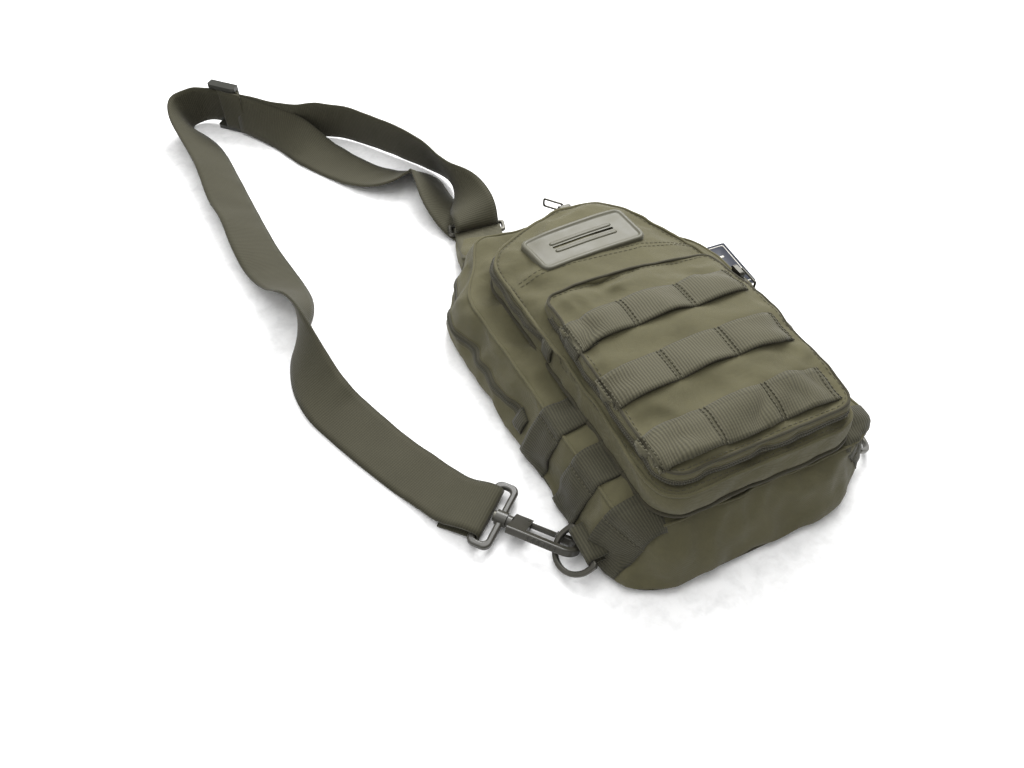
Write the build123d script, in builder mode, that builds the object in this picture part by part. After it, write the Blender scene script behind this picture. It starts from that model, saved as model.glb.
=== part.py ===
from build123d import *

import os
from math import cos, radians, sin, tan

# A one-strap sling bag lying on its back panel: X to its right, Y to its neck, Z up.
# The origin is the centre of the back panel's outer face. Millimetres.

# ---------- driving dimensions ----------
# Body of the bag
bag_length = 324.0          # bottom seam to the foot of the neck
bottom_width = 186.0        # across the bottom corners, at the back panel
main_depth = 47.0           # back face to the front of the main compartment
front_depth = 23.0          # how far the front compartment stands on the main one
pocket_depth = 14.5         # how far the webbed pocket stands on the front compartment
slump = 8.0                 # the stuffed front leans this far to the right as it lies
fabric = 1.5                # coated fabric with its lining
foam = 5.0                  # padding in the back panel
gusset_wall = 2.0           # fabric, binding and seam of a compartment's side wall

# Main compartment
bottom_slope = 29.0         # the bottom wall leans in this far
side_slope = 13.0           # the left wall leans in this far
right_lean = 7.0            # the right wall leans out this far
shoulder_y = 88.0           # where the sides turn in towards the neck
flare = 0.052               # the sides spread this much for each millimetre of length
right_shoulder_x = 62.0     # the right shoulder is full, the left one runs up to the neck

# Front compartment
front_width = 160.0
front_inset = 8.0           # each side comes in this far at the bottom
front_bottom_y = -130.0
front_arch_y = 127.0        # top of the arch
front_shoulder_y = 94.0
arch_radius = 100.0

# Webbed pocket
pocket_width = 136.0
pocket_bottom_y = -124.0
pocket_top_y = 36.0
slip_height = 5.4           # clear height of the open-topped slip pocket
zipped_height = 6.4         # clear height of the zipped pocket under it

# Webbing
webbing = 1.5               # thickness of all webbing
narrow_webbing = 25.0       # equipment rows, side webbing and ring tabs
strap_width = 38.0
row_length = 126.0
row_centre_x = 3.0
row_first_y = -104.0
row_pitch = 48.4
row_count = 3
tack_width = 4.0            # bar tacks that hold a row down
tack_gap = 1.0              # the loops of a row stand this far off the face
loops_per_row = 3
side_webbing_y = (-36.0, -77.5, -120.0)

# Zips
zip_band = 7.0              # width of tape showing
coil_width = 2.0
coil_height = 1.0
main_zip_z = 21.0
front_zip_rise = 15.0       # the front zip's middle above the main compartment's face
pocket_zip_rise = 5.0       # the pocket zip's middle above the front compartment's face
main_zip_end_y = -8.0
front_zip_end_y = 10.0
pocket_zip_end_y = 22.0
slider_length = 11.0
slider_width = 8.0
slider_height = 3.2
slider_clearance = 0.4
pull_wire = 1.5
pull_width = 8.0
pull_length = 17.0
pull_hole = 2.0
main_sliders_y = 27.0       # the two sliders of the main zip meet here
pocket_slider_y = 6.0

# Patch
patch_length = 80.0
patch_height = 35.0
patch_thickness = 2.8
patch_centre = (-4.0, 84.0)
patch_angle = 5.0

# Neck webbing and its ring
neck_foot = (-46.0, 163.0)
neck_angle = -15.0
neck_width = 40.0
neck_ring_near = 31.0       # from the neck's foot to the near bar
neck_ring_gap = 10.0        # between the two bars
neck_ring_inside = 42.0
neck_ring_wire = 3.2
neck_ring_z = 7.0

# D-rings at the bottom corners
ring_bar_out = 5.0          # the bar stands this far off the side wall
ring_bar_y = -108.0
ring_bar_z = 15.0
ring_inside = 26.4
ring_wire = 3.6
ring_straight = 5.0
ring_tilt = 32.0            # the free end lies lower than the bar
tab_clearance = 0.35

# Swivel hook
hook_foot = (-131.5, -69.0, 7.2)
hook_heading = -49.4        # direction of its nose, from +X
hook_roll = 33.0            # the gate side lies lower than the spine
hook_thickness = 5.4
hook_length = 50.0
spine_width = 5.0
eye_width = 9.8
eye_start = 15.0
nose_start = 32.0
gate_width = 3.2
gate_thickness = 2.4
gate_gap = 0.4
gate_pivot = (10.0, 6.2)
pivot_radius = 1.0
running_clearance = 0.05
swivel_radius = 2.5
swivel_head = 3.6
boss_radius = 5.0
boss_length = 7.4
loop_inside = 41.0
loop_wire = 4.4
loop_gap = 12.3             # between the centres of its two bars

# Strap slider
glide_centre = (-188.0, 438.0)
glide_heading = -45.0
glide_height = 46.0
glide_half = 14.0
glide_side_bar = 3.5
glide_centre_bar = 5.0
glide_bar = 2.4
glide_cap = 3.6
layer_gap = 0.3             # between webbing and what it passes
return_gap = 0.4            # from the strap's sewn end to its returning run
return_ends = (40.4, 4.0)   # the returning run passes the slider between these places along it

# Swing tag
tag_width = 38.0
tag_length = 50.0
tag_thickness = 0.8
tag_corner = (109.5, 52.0)
tag_angle = -2.0
floor_gap = 0.3

# Route of the strap, from the hook to the neck ring and back, chosen by hand
floor_route = [(-161.4, -34.1), (-173, -5), (-188, 27), (-200, 58), (-210.5, 94), (-209, 131), (-202, 167),
               (-206.5, 203), (-214, 239), (-214, 275), (-218.5, 318), (-219, 360), (-222.5, 404)]
turn_route = [(-222.5, 404), (-229, 428), (-228, 444)]
edge_route = [(-228, 444), (-222, 455), (-207, 457), (-157, 407), (-131, 389), (-95, 380), (-68, 333),
              (-36.5, 286), (-38, 270)]
top_route = [(-38, 270), (-38, 242), (-33, 214)]
return_flat_route = [(-33, 214), (-45, 240), (-62, 262), (-80, 283), (-99, 307), (-114, 336), (-128, 358)]
return_edge_route = [(-128, 358), (-146, 383)]     # then alongside the slider

# ---------- derived sizes ----------
back_thickness = fabric + foam + fabric / 2
main_top = main_depth
front_top = main_top + front_depth
front_zip_z = main_top + front_zip_rise
pocket_zip_z = front_top + pocket_zip_rise
pocket_top = front_top + pocket_depth
half_bottom = bottom_width / 2
bottom_y = -bag_length / 2 + 1
neck_y = neck_foot[1]
half_shoulder = half_bottom + flare * (shoulder_y + 10 - bottom_y)
front_edge_y = bottom_y + bottom_slope
neck_half = neck_width / 2 + 2
neck_drop = 22.0            # the top wall leans in this far at the neck

base_points = [
    (-half_bottom, bottom_y), (half_bottom, bottom_y), (half_shoulder, shoulder_y),
    (right_shoulder_x, neck_y - 13), (neck_foot[0] + neck_half, neck_y), (neck_foot[0] - neck_half, neck_y),
    (-half_shoulder, shoulder_y + 10),
]
base_radii = [42, 42, 32, 40, 10, 10, 45]
front_half = half_bottom - side_slope
front_edge_points = [
    (-front_half, front_edge_y), (half_bottom + right_lean, front_edge_y),
    (half_bottom + right_lean + flare * (shoulder_y - front_edge_y), shoulder_y - 4),
    (right_shoulder_x, neck_y - neck_drop - 7),
    (neck_foot[0] + neck_half + 6, neck_y - neck_drop), (neck_foot[0] - neck_half + 6, neck_y - neck_drop),
    (-front_half - flare * (shoulder_y - front_edge_y), shoulder_y),
]
front_edge_radii = [30, 30, 30, 36, 10, 10, 40]

arch_slope = 33.0
arch_peak_y = front_arch_y + arch_radius / cos(radians(arch_slope)) - arch_radius
shoulder_half = (arch_peak_y - front_shoulder_y) / tan(radians(arch_slope))
foot_half = front_width / 2 - front_inset
front_points = [
    (slump - foot_half, front_bottom_y), (slump + foot_half, front_bottom_y),
    (slump + shoulder_half, front_shoulder_y), (slump, arch_peak_y), (slump - shoulder_half, front_shoulder_y),
]
front_radii = [20, 20, 28, arch_radius, 28]
pocket_left = slump - pocket_width / 2
pocket_right = slump + pocket_width / 2
pocket_points = [(pocket_left, pocket_bottom_y), (pocket_right, pocket_bottom_y),
                 (pocket_right, pocket_top_y), (pocket_left, pocket_top_y)]
pocket_radii = [16, 16, 8, 8]


# ---------- helpers ----------
def outline(points, radii):
    """Edges of a closed outline, each corner rounded to its own radius."""
    with BuildLine() as line:
        FilletPolyline(*points, radius=radii, close=True)
    return line.edges()


base_outline = outline(base_points, base_radii)
front_edge_outline = outline(front_edge_points, front_edge_radii)
front_outline = outline(front_points, front_radii)
pocket_outline = outline(pocket_points, pocket_radii)


def plate(edges, bottom, top, grow=0.0):
    """A flat plate of an outline between two heights, grown outwards by grow."""
    with BuildPart() as block:
        with BuildSketch(Plane.XY.offset(bottom)):
            make_face(edges)
            if grow:
                offset(amount=grow)
        extrude(amount=top - bottom)
    return block.part


def main_block(grow, top=main_top):
    """The main compartment's leaning sides as one block, grown outwards by grow."""
    with BuildPart() as block:
        with BuildSketch(Plane.XY.offset(back_thickness)):
            make_face(base_outline)
            if grow:
                offset(amount=grow)
        with BuildSketch(Plane.XY.offset(top)):
            make_face(front_edge_outline)
            if grow:
                offset(amount=grow)
        loft(ruled=True)
    return block.part


glide_along = Vector(cos(radians(glide_heading)), sin(radians(glide_heading)), 0)
glide_plane = Plane(origin=(*glide_centre, 0), x_dir=glide_along)
side_bar_near = webbing / 2 + layer_gap
centre_bar_near = side_bar_near + webbing + layer_gap
centre_bar_far = centre_bar_near + glide_bar
return_out = -(centre_bar_far + layer_gap + webbing + return_gap + webbing / 2)


def slab(low, high):
    """A box between two corners."""
    size = [b - a for a, b in zip(low, high)]
    with BuildPart(Plane(origin=low)) as block:
        Box(*size, align=(Align.MIN, Align.MIN, Align.MIN))
    return block.part


def wall_line(side, z):
    """Both ends of the main compartment's straight side wall at a height."""
    share = (z - back_thickness) / (main_top - back_thickness)
    low, high = (base_points[1:3], front_edge_points[1:3]) if side > 0 else (
        (base_points[0], base_points[6]), (front_edge_points[0], front_edge_points[6]))
    return [Vector(*a) * (1 - share) + Vector(*b) * share for a, b in zip(low, high)]


def wall_x(side, y, z):
    """Where a side wall stands at a length and a height."""
    end, top = wall_line(side, z)
    return end.X + (top.X - end.X) * (y - end.Y) / (top.Y - end.Y)


def route_radii(points):
    """The largest arc that each corner of a route allows."""
    radii = []
    for before, corner, after in zip(points, points[1:], points[2:]):
        first = Vector(*corner) - Vector(*before)
        second = Vector(*after) - Vector(*corner)
        turn = radians(first.get_angle(second))
        radii.append(0.45 * min(first.length, second.length) / tan(turn / 2))
    return radii


def route_line(points):
    """A route as straight runs joined by tangent arcs."""
    with BuildLine() as line:
        FilletPolyline(*points, radius=route_radii(points))
    return line.edges()


def run(points, bottom, height, width):
    """A length of webbing along a plan route, flat or on its edge."""
    with BuildPart() as length:
        with BuildSketch(Plane.XY.offset(bottom)):
            trace(route_line(points), line_width=width)
        extrude(amount=height)
    print("run", len(points), "points, radii", [round(r) for r in route_radii(points)])
    return length.part


def frame_ring(plane, long_inside, short_inside, wire, corner, edge):
    """A flat rectangular ring of rounded wire, centred on a plane."""
    with BuildPart() as ring:
        with BuildSketch(plane.offset(-wire / 2)):
            RectangleRounded(short_inside + 2 * wire, long_inside + 2 * wire, corner)
            RectangleRounded(short_inside, long_inside, corner - wire / 2, mode=Mode.SUBTRACT)
        extrude(amount=wire)
        fillet(ring.edges(), radius=edge)
    return ring.part


def hairpin(plane, points, radii, width):
    """Webbing folded round a bar: a side profile carried across its width."""
    with BuildPart() as fold:
        with BuildSketch(plane):
            with BuildLine():
                FilletPolyline(*points, radius=radii)
            trace(line_width=webbing)
        extrude(amount=width / 2, both=True)
    return fold.part


def save(built, name):
    """Label a finished piece and write it."""
    built.part.label = name
    export_step(built.part, f"parts/{name}.step")


os.makedirs("parts", exist_ok=True)

main_outer = main_block(0.0)
main_inner = main_block(-gusset_wall)
main_webbing_skin = main_block(webbing, main_top + webbing)
front_block = plate(front_outline, main_top, pocket_top + 20)

# ---------- back panel ----------
with BuildPart() as back_panel:
    with BuildSketch():
        make_face(base_outline)
    extrude(amount=fabric)
save(back_panel, "back_panel")

with BuildPart() as back_foam:
    with BuildSketch(Plane.XY.offset(fabric)):
        make_face(base_outline)
        offset(amount=-gusset_wall)
    extrude(amount=foam)
save(back_foam, "back_foam")

with BuildPart() as back_lining:
    with BuildSketch(Plane.XY.offset(fabric + foam)):
        make_face(base_outline)
    extrude(amount=fabric / 2)
save(back_lining, "back_lining")

with BuildPart() as back_binding:
    with BuildSketch(Plane.XY.offset(fabric)):
        make_face(base_outline)
        offset(amount=-gusset_wall, mode=Mode.SUBTRACT)
    extrude(amount=foam)
save(back_binding, "back_binding")

# ---------- main compartment ----------
reach = 400.0
main_zip_box = slab((-reach, main_zip_end_y, main_zip_z - zip_band / 2), (reach, reach, main_zip_z + zip_band / 2))
main_coil_box = slab((-reach, main_zip_end_y, main_zip_z - coil_width / 2),
                     (reach, reach, main_zip_z + coil_width / 2))

with BuildPart() as main_gusset:
    add(main_outer)
    add(main_inner, mode=Mode.SUBTRACT)
    add(main_zip_box, mode=Mode.SUBTRACT)
    add(slab((-reach, -reach, main_top - fabric), (reach, reach, reach)), mode=Mode.SUBTRACT)
save(main_gusset, "main_gusset")

with BuildPart() as main_zip_tape:
    add(main_outer)
    add(main_inner, mode=Mode.SUBTRACT)
    add(main_zip_box, mode=Mode.INTERSECT)
save(main_zip_tape, "main_zip_tape")

with BuildPart() as main_zip_coil:
    add(main_block(coil_height))
    add(main_outer, mode=Mode.SUBTRACT)
    add(main_coil_box, mode=Mode.INTERSECT)
save(main_zip_coil, "main_zip_coil")

with BuildPart() as main_front_panel:
    add(main_outer)
    add(slab((-reach, -reach, main_top - fabric), (reach, reach, reach)), mode=Mode.INTERSECT)
save(main_front_panel, "main_front_panel")


def zip_end_tab(side):
    """Folded webbing that closes the end of the main zip, on one side."""
    with BuildPart() as tab:
        add(main_block(coil_height + webbing))
        add(main_block(coil_height + 0.01), mode=Mode.SUBTRACT)
        add(slab((-reach, main_zip_end_y - 8, main_zip_z - 6), (reach, main_zip_end_y + 3, main_zip_z + 6)),
            mode=Mode.INTERSECT)
        add(slab((-reach, -reach, -reach), (0, reach, reach)) if side > 0
            else slab((0, -reach, -reach), (reach, reach, reach)), mode=Mode.SUBTRACT)
    return tab


for side, word in ((-1, "left"), (1, "right")):
    save(zip_end_tab(side), f"main_zip_tab_{word}")

# ---------- side webbing ----------
for side, word in ((-1, "left"), (1, "right")):
    inner_x = slump + side * (foot_half - 2)
    low_x, high_x = (-reach, inner_x) if side < 0 else (inner_x, reach)
    with BuildPart() as side_webbing:
        for middle_y in side_webbing_y:
            add(slab((low_x, middle_y - narrow_webbing / 2, back_thickness),
                     (high_x, middle_y + narrow_webbing / 2, reach)))
        add(main_webbing_skin, mode=Mode.INTERSECT)
        add(main_outer, mode=Mode.SUBTRACT)
        add(front_block, mode=Mode.SUBTRACT)
    save(side_webbing, f"side_webbing_{word}")

# ---------- front compartment ----------
front_zip_box = slab((-reach, front_zip_end_y, front_zip_z - zip_band / 2),
                     (reach, reach, front_zip_z + zip_band / 2))

with BuildPart() as front_gusset:
    with BuildSketch(Plane.XY.offset(main_top)):
        make_face(front_outline)
        offset(amount=-gusset_wall, mode=Mode.SUBTRACT)
    extrude(amount=front_depth - fabric)
    add(front_zip_box, mode=Mode.SUBTRACT)
save(front_gusset, "front_gusset")

with BuildPart() as front_zip_tape:
    with BuildSketch(Plane.XY.offset(front_zip_z - zip_band / 2)):
        make_face(front_outline)
        offset(amount=-gusset_wall, mode=Mode.SUBTRACT)
    extrude(amount=zip_band)
    add(front_zip_box, mode=Mode.INTERSECT)
save(front_zip_tape, "front_zip_tape")

with BuildPart() as front_zip_coil:
    add(plate(front_outline, front_zip_z - coil_width / 2, front_zip_z + coil_width / 2, coil_height))
    add(plate(front_outline, front_zip_z - coil_width, front_zip_z + coil_width), mode=Mode.SUBTRACT)
    add(front_zip_box, mode=Mode.INTERSECT)
save(front_zip_coil, "front_zip_coil")

with BuildPart() as front_panel:
    with BuildSketch(Plane.XY.offset(front_top - fabric)):
        make_face(front_outline)
    extrude(amount=fabric)
save(front_panel, "front_panel")

for side, word in ((-1, "left"), (1, "right")):
    edge_x = -reach if side < 0 else slump
    with BuildPart() as front_zip_tab:
        add(plate(front_outline, front_zip_z - 7, front_zip_z + 6, coil_height + webbing))
        add(plate(front_outline, front_zip_z - 8, front_zip_z + 7, coil_height), mode=Mode.SUBTRACT)
        add(slab((edge_x, front_zip_end_y - 9, 0), (edge_x + reach + slump, front_zip_end_y + 3, reach)),
            mode=Mode.INTERSECT)
    save(front_zip_tab, f"front_zip_tab_{word}")

with BuildPart() as patch:
    with BuildSketch(Plane(origin=(*patch_centre, front_top), x_dir=(1, 0, 0)).rotated((0, 0, patch_angle))):
        RectangleRounded(patch_length, patch_height, 5)
    extrude(amount=patch_thickness)
    fillet(patch.faces().sort_by(Axis.Z)[-1].edges(), radius=0.8)
save(patch, "rubber_patch")

# ---------- webbed pocket ----------
slip_bottom = pocket_top - fabric - slip_height
divider_bottom = slip_bottom - (pocket_depth - fabric - slip_height - zipped_height)
pocket_zip_box = slab((-reach, -reach, pocket_zip_z - zip_band / 2 + 1),
                      (reach, pocket_zip_end_y, pocket_zip_z + zip_band / 2 - 1))
slip_mouth = slab((pocket_left + 8, 0, slip_bottom), (pocket_right - 8, reach, pocket_top))

with BuildPart() as pocket_gusset:
    with BuildSketch(Plane.XY.offset(front_top)):
        make_face(pocket_outline)
        offset(amount=-gusset_wall, mode=Mode.SUBTRACT)
    extrude(amount=pocket_depth - fabric)
    add(pocket_zip_box, mode=Mode.SUBTRACT)
    add(slip_mouth, mode=Mode.SUBTRACT)
save(pocket_gusset, "pocket_gusset")

with BuildPart() as pocket_zip_tape:
    with BuildSketch(Plane.XY.offset(front_top)):
        make_face(pocket_outline)
        offset(amount=-gusset_wall, mode=Mode.SUBTRACT)
    extrude(amount=pocket_depth)
    add(pocket_zip_box, mode=Mode.INTERSECT)
save(pocket_zip_tape, "pocket_zip_tape")

with BuildPart() as pocket_zip_coil:
    add(plate(pocket_outline, pocket_zip_z - coil_width / 2, pocket_zip_z + coil_width / 2, coil_height))
    add(plate(pocket_outline, front_top, pocket_top), mode=Mode.SUBTRACT)
    add(pocket_zip_box, mode=Mode.INTERSECT)
save(pocket_zip_coil, "pocket_zip_coil")

with BuildPart() as pocket_divider:
    with BuildSketch(Plane.XY.offset(divider_bottom)):
        make_face(pocket_outline)
        offset(amount=-gusset_wall)
    extrude(amount=slip_bottom - divider_bottom)
save(pocket_divider, "pocket_divider")

with BuildPart() as pocket_face:
    with BuildSketch(Plane.XY.offset(pocket_top - fabric)):
        make_face(pocket_outline)
    extrude(amount=fabric)
save(pocket_face, "pocket_face")

tack_pitch = (row_length - tack_width) / loops_per_row
for row in range(row_count):
    row_y = row_first_y + row * row_pitch
    with BuildPart() as equipment_row:
        with BuildSketch(Plane(origin=(row_centre_x, row_y, pocket_top + tack_gap))):
            Rectangle(row_length, narrow_webbing)
        extrude(amount=webbing)
        with BuildSketch(Plane(origin=(row_centre_x, row_y, pocket_top))):
            with GridLocations(tack_pitch, 0, loops_per_row + 1, 1):
                Rectangle(tack_width, narrow_webbing)
        extrude(amount=tack_gap)
    save(equipment_row, f"webbing_row_{row_count - row}")

with BuildPart() as pocket_side_webbing:
    add(plate(pocket_outline, front_top, pocket_top, coil_height + webbing))
    add(plate(pocket_outline, front_top, pocket_top, coil_height), mode=Mode.SUBTRACT)
    top_row_y = row_first_y + (row_count - 1) * row_pitch
    add(slab((-reach, top_row_y - narrow_webbing / 2, front_top), (0, top_row_y + narrow_webbing / 2, reach)),
        mode=Mode.INTERSECT)
save(pocket_side_webbing, "pocket_side_webbing")

# ---------- neck ----------
neck_plane = Plane(origin=(*neck_foot, 0), x_dir=(cos(radians(neck_angle)), sin(radians(neck_angle)), 0))
across = neck_plane.x_dir
along = neck_plane.y_dir
neck_side = Plane(origin=neck_plane.origin, x_dir=along, z_dir=across)
half_wire = neck_ring_wire / 2
near_bar = neck_ring_near
far_bar = neck_ring_near + neck_ring_gap
leg = half_wire + 0.85 + webbing / 2
fold_radius = leg - 0.1

with BuildPart() as neck_webbing:
    add(hairpin(neck_side, [(-10, neck_ring_z + leg - 2), (near_bar - 4, neck_ring_z + leg),
                            (near_bar + leg + 0.2, neck_ring_z + leg), (near_bar + leg + 0.2, neck_ring_z - leg),
                            (near_bar - 4, neck_ring_z - leg), (-10, neck_ring_z - leg - 0.8)],
                [20, fold_radius, fold_radius, 20], neck_width))
    add(main_outer, mode=Mode.SUBTRACT)
    add(slab((-reach, -reach, -reach), (reach, neck_y - 25, reach)), mode=Mode.SUBTRACT)
    add(slab((-reach, -reach, -reach), (reach, neck_y + 0.01, back_thickness)), mode=Mode.SUBTRACT)
save(neck_webbing, "neck_webbing")

with BuildPart() as neck_panel:
    with BuildSketch(neck_plane.offset(neck_ring_z - leg + webbing / 2 + 0.6)):
        with BuildLine():
            Polyline((-neck_half + 2, 1.2), (neck_half - 2, 1.2), (neck_width / 2 - 1, 18),
                     (-neck_width / 2 + 1, 18), close=True)
        make_face()
    extrude(amount=1.6)
    add(main_outer, mode=Mode.SUBTRACT)
    add(slab((-reach, -reach, -reach), (reach, neck_y + 0.01, back_thickness)), mode=Mode.SUBTRACT)
save(neck_panel, "neck_panel")

ring_middle = neck_plane.from_local_coords(Vector(0, (near_bar + far_bar) / 2, neck_ring_z))
ring_plane = Plane(origin=ring_middle, x_dir=along, z_dir=(0, 0, 1))
with BuildPart() as neck_ring:
    add(frame_ring(ring_plane, neck_ring_inside, neck_ring_gap - neck_ring_wire, neck_ring_wire, 3.0, 1.2))
save(neck_ring, "neck_ring")

# ---------- strap ----------
with BuildPart() as strap_ring_fold:
    start_x = far_bar - leg - 0.2
    add(hairpin(neck_side, [(far_bar + 11, neck_ring_z + leg + 1.2), (far_bar + 4, neck_ring_z + leg),
                            (start_x, neck_ring_z + leg), (start_x, neck_ring_z - leg),
                            (far_bar + 4, neck_ring_z - leg), (far_bar + 11, webbing / 2 + 0.4)],
                [6, fold_radius, fold_radius, 6], strap_width))
save(strap_ring_fold, "strap_ring_fold")

with BuildPart() as strap_floor_run:
    add(run(floor_route, 0, webbing, strap_width))
save(strap_floor_run, "strap_floor_run")

with BuildPart() as strap_turn_run:
    add(run(turn_route, 0, strap_width, webbing))
    add(strap_floor_run.part, mode=Mode.SUBTRACT)
save(strap_turn_run, "strap_turn_run")

edge_bottom = floor_gap + glide_cap + layer_gap
with BuildPart() as strap_edge_run:
    add(run(edge_route, edge_bottom, strap_width, webbing))
    add(strap_turn_run.part, mode=Mode.SUBTRACT)
save(strap_edge_run, "strap_edge_run")

with BuildPart() as strap_top_run:
    add(run(top_route, neck_ring_z + leg + 0.4, webbing, strap_width))
    add(strap_edge_run.part, mode=Mode.SUBTRACT)
    add(strap_ring_fold.part, mode=Mode.SUBTRACT)
save(strap_top_run, "strap_top_run")

with BuildPart() as strap_return_flat:
    add(run(return_flat_route, 0, webbing, strap_width))
    add(strap_ring_fold.part, mode=Mode.SUBTRACT)
save(strap_return_flat, "strap_return_flat")

with BuildPart() as strap_return_edge:
    beside_glide = [glide_plane.from_local_coords(Vector(forward, return_out)) for forward in return_ends]
    add(run(return_edge_route + [(spot.X, spot.Y) for spot in beside_glide], 0, strap_width, webbing))
    add(strap_return_flat.part, mode=Mode.SUBTRACT)
save(strap_return_edge, "strap_return_edge")

# ---------- strap slider ----------

with BuildPart() as tri_glide:
    with BuildSketch(glide_plane.offset(floor_gap)):
        for middle in (-glide_half + glide_side_bar / 2, glide_half - glide_side_bar / 2):
            with Locations((middle, side_bar_near + glide_bar / 2)):
                RectangleRounded(glide_side_bar, glide_bar, 0.8)
        with Locations((0, -(centre_bar_near + centre_bar_far) / 2)):
            RectangleRounded(glide_centre_bar, glide_bar, 0.8)
    extrude(amount=glide_height)
    for height in (floor_gap, floor_gap + glide_height - glide_cap):
        with BuildSketch(glide_plane.offset(height)):
            with Locations((0, (side_bar_near + glide_bar - centre_bar_far) / 2)):
                RectangleRounded(2 * glide_half, side_bar_near + glide_bar + centre_bar_far, 2.5)
        extrude(amount=glide_cap)
save(tri_glide, "tri_glide")

fold_inside = -(webbing / 2 + layer_gap + webbing / 2)
fold_outside = -(centre_bar_far + layer_gap + webbing / 2)
with BuildPart() as strap_end_fold:
    with BuildSketch(glide_plane.offset(edge_bottom)):
        with BuildLine():
            FilletPolyline((16, fold_inside), (-glide_centre_bar / 2 - 1.1, fold_inside),
                           (-glide_centre_bar / 2 - 1.1, fold_outside), (20, fold_outside), radius=1.9)
        trace(line_width=webbing)
    extrude(amount=strap_width)
save(strap_end_fold, "strap_end_fold")

# ---------- D-rings and their tabs ----------
for side, word in ((-1, "left"), (1, "right")):
    outwards = Vector(side * cos(radians(ring_tilt)), 0, -sin(radians(ring_tilt)))
    bar = Vector(wall_x(side, ring_bar_y, ring_bar_z) + side * ring_bar_out, ring_bar_y, ring_bar_z)
    flat = Plane(origin=bar, x_dir=outwards, z_dir=outwards.cross(Vector(0, 1, 0)))
    outer_half = ring_inside / 2 + ring_wire
    with BuildPart() as d_ring:
        with BuildSketch(flat.offset(-ring_wire / 2)):
            for half, back, corner, mode in ((outer_half, -ring_wire / 2, 1.5 + ring_wire / 2, Mode.ADD),
                                             (ring_inside / 2, ring_wire / 2, 1.5, Mode.SUBTRACT)):
                with BuildLine():
                    FilletPolyline((ring_straight, -half), (back, -half), (back, half), (ring_straight, half),
                                   radius=corner)
                    ThreePointArc((ring_straight, half), (ring_straight + half, 0), (ring_straight, -half))
                make_face(mode=mode)
        extrude(amount=ring_wire)
        fillet(d_ring.edges(), radius=1.2)
    save(d_ring, f"d_ring_{word}")
    print("ring bar", word, bar)

    hole = ring_wire / 2 + 0.25 + tab_clearance
    with BuildPart() as ring_tab:
        with BuildSketch(Plane(origin=bar, x_dir=(1, 0, 0), z_dir=(0, -1, 0))):
            Circle(hole + webbing)
            with Locations((-side * 10, 0)):
                Rectangle(20, 2 * webbing)
        extrude(amount=narrow_webbing / 2, both=True)
        with BuildSketch(Plane(origin=bar, x_dir=(1, 0, 0), z_dir=(0, -1, 0))):
            Circle(hole)
        extrude(amount=narrow_webbing, both=True, mode=Mode.SUBTRACT)
        add(main_webbing_skin, mode=Mode.SUBTRACT)
    save(ring_tab, f"ring_tab_{word}")

# ---------- swivel hook ----------
heading = radians(hook_heading)
nose_way = Vector(cos(heading), sin(heading), 0)
gate_way = Vector(-sin(heading), cos(heading), 0)
roll = radians(hook_roll)
hook_side = gate_way * cos(roll) - Vector(0, 0, 1) * sin(roll)
hook_plane = Plane(origin=hook_foot, x_dir=nose_way, z_dir=nose_way.cross(hook_side))
loop_plane = Plane(origin=hook_foot, x_dir=nose_way, z_dir=(0, 0, 1))
swivel_plane = Plane(origin=hook_foot, x_dir=gate_way, z_dir=nose_way)

nose_out = gate_pivot[1] + gate_width / 2 + 0.6
nose_in = nose_out - 4.6
spine_in = nose_in - eye_width
spine_out = spine_in - spine_width
bend_outer = (nose_out - spine_out) / 2
bend_y = (nose_out + spine_out) / 2
bend_x = hook_length - bend_outer
slot_in = gate_pivot[1] - gate_width / 2 - 3.1

with BuildPart() as hook_body:
    with BuildSketch(hook_plane.offset(-hook_thickness / 2)):
        with BuildLine():
            Polyline((bend_x, spine_out), (3, spine_out), (3, nose_out), (eye_start, nose_out),
                     (eye_start, spine_in), (bend_x, spine_in))
            ThreePointArc((bend_x, spine_in), (bend_x + (nose_in - spine_in) / 2, (nose_in + spine_in) / 2),
                          (bend_x, nose_in))
            Polyline((bend_x, nose_in), (nose_start, nose_in), (nose_start, nose_out), (bend_x, nose_out))
            ThreePointArc((bend_x, nose_out), (hook_length, bend_y), (bend_x, spine_out))
        make_face()
    extrude(amount=hook_thickness)
    fillet(hook_body.edges().filter_by(GeomType.CIRCLE), radius=1.2)
    with BuildSketch(hook_plane.offset(-gate_thickness / 2 - 0.75)):
        with Locations((eye_start, (slot_in + nose_out) / 2 + 2)):
            Rectangle(2 * (eye_start - gate_pivot[0] + gate_width / 2 + 1), nose_out - slot_in + 4)
    extrude(amount=gate_thickness + 1.5, mode=Mode.SUBTRACT)
    with BuildSketch(hook_plane.offset(-hook_thickness)):
        with Locations(gate_pivot):
            Circle(pivot_radius)
    extrude(amount=2 * hook_thickness, mode=Mode.SUBTRACT)
    with BuildSketch(swivel_plane.offset(0.4)):
        Circle(boss_radius - 1)
    extrude(amount=3)
    with BuildSketch(swivel_plane):
        Circle(swivel_radius)
    extrude(amount=3.4, mode=Mode.SUBTRACT)
    with BuildSketch(hook_plane.offset(-hook_thickness / 2 + 1)):
        with GridLocations(3.6, 0, 6, 1):
            with Locations((26, spine_out)):
                Rectangle(1.6, 1.4)
    extrude(amount=hook_thickness - 2)
save(hook_body, "hook_body")

with BuildPart() as gate_pin:
    with BuildSketch(hook_plane.offset(-hook_thickness / 2)):
        with Locations(gate_pivot):
            Circle(pivot_radius)
    extrude(amount=hook_thickness)
save(gate_pin, "gate_pin")

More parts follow.
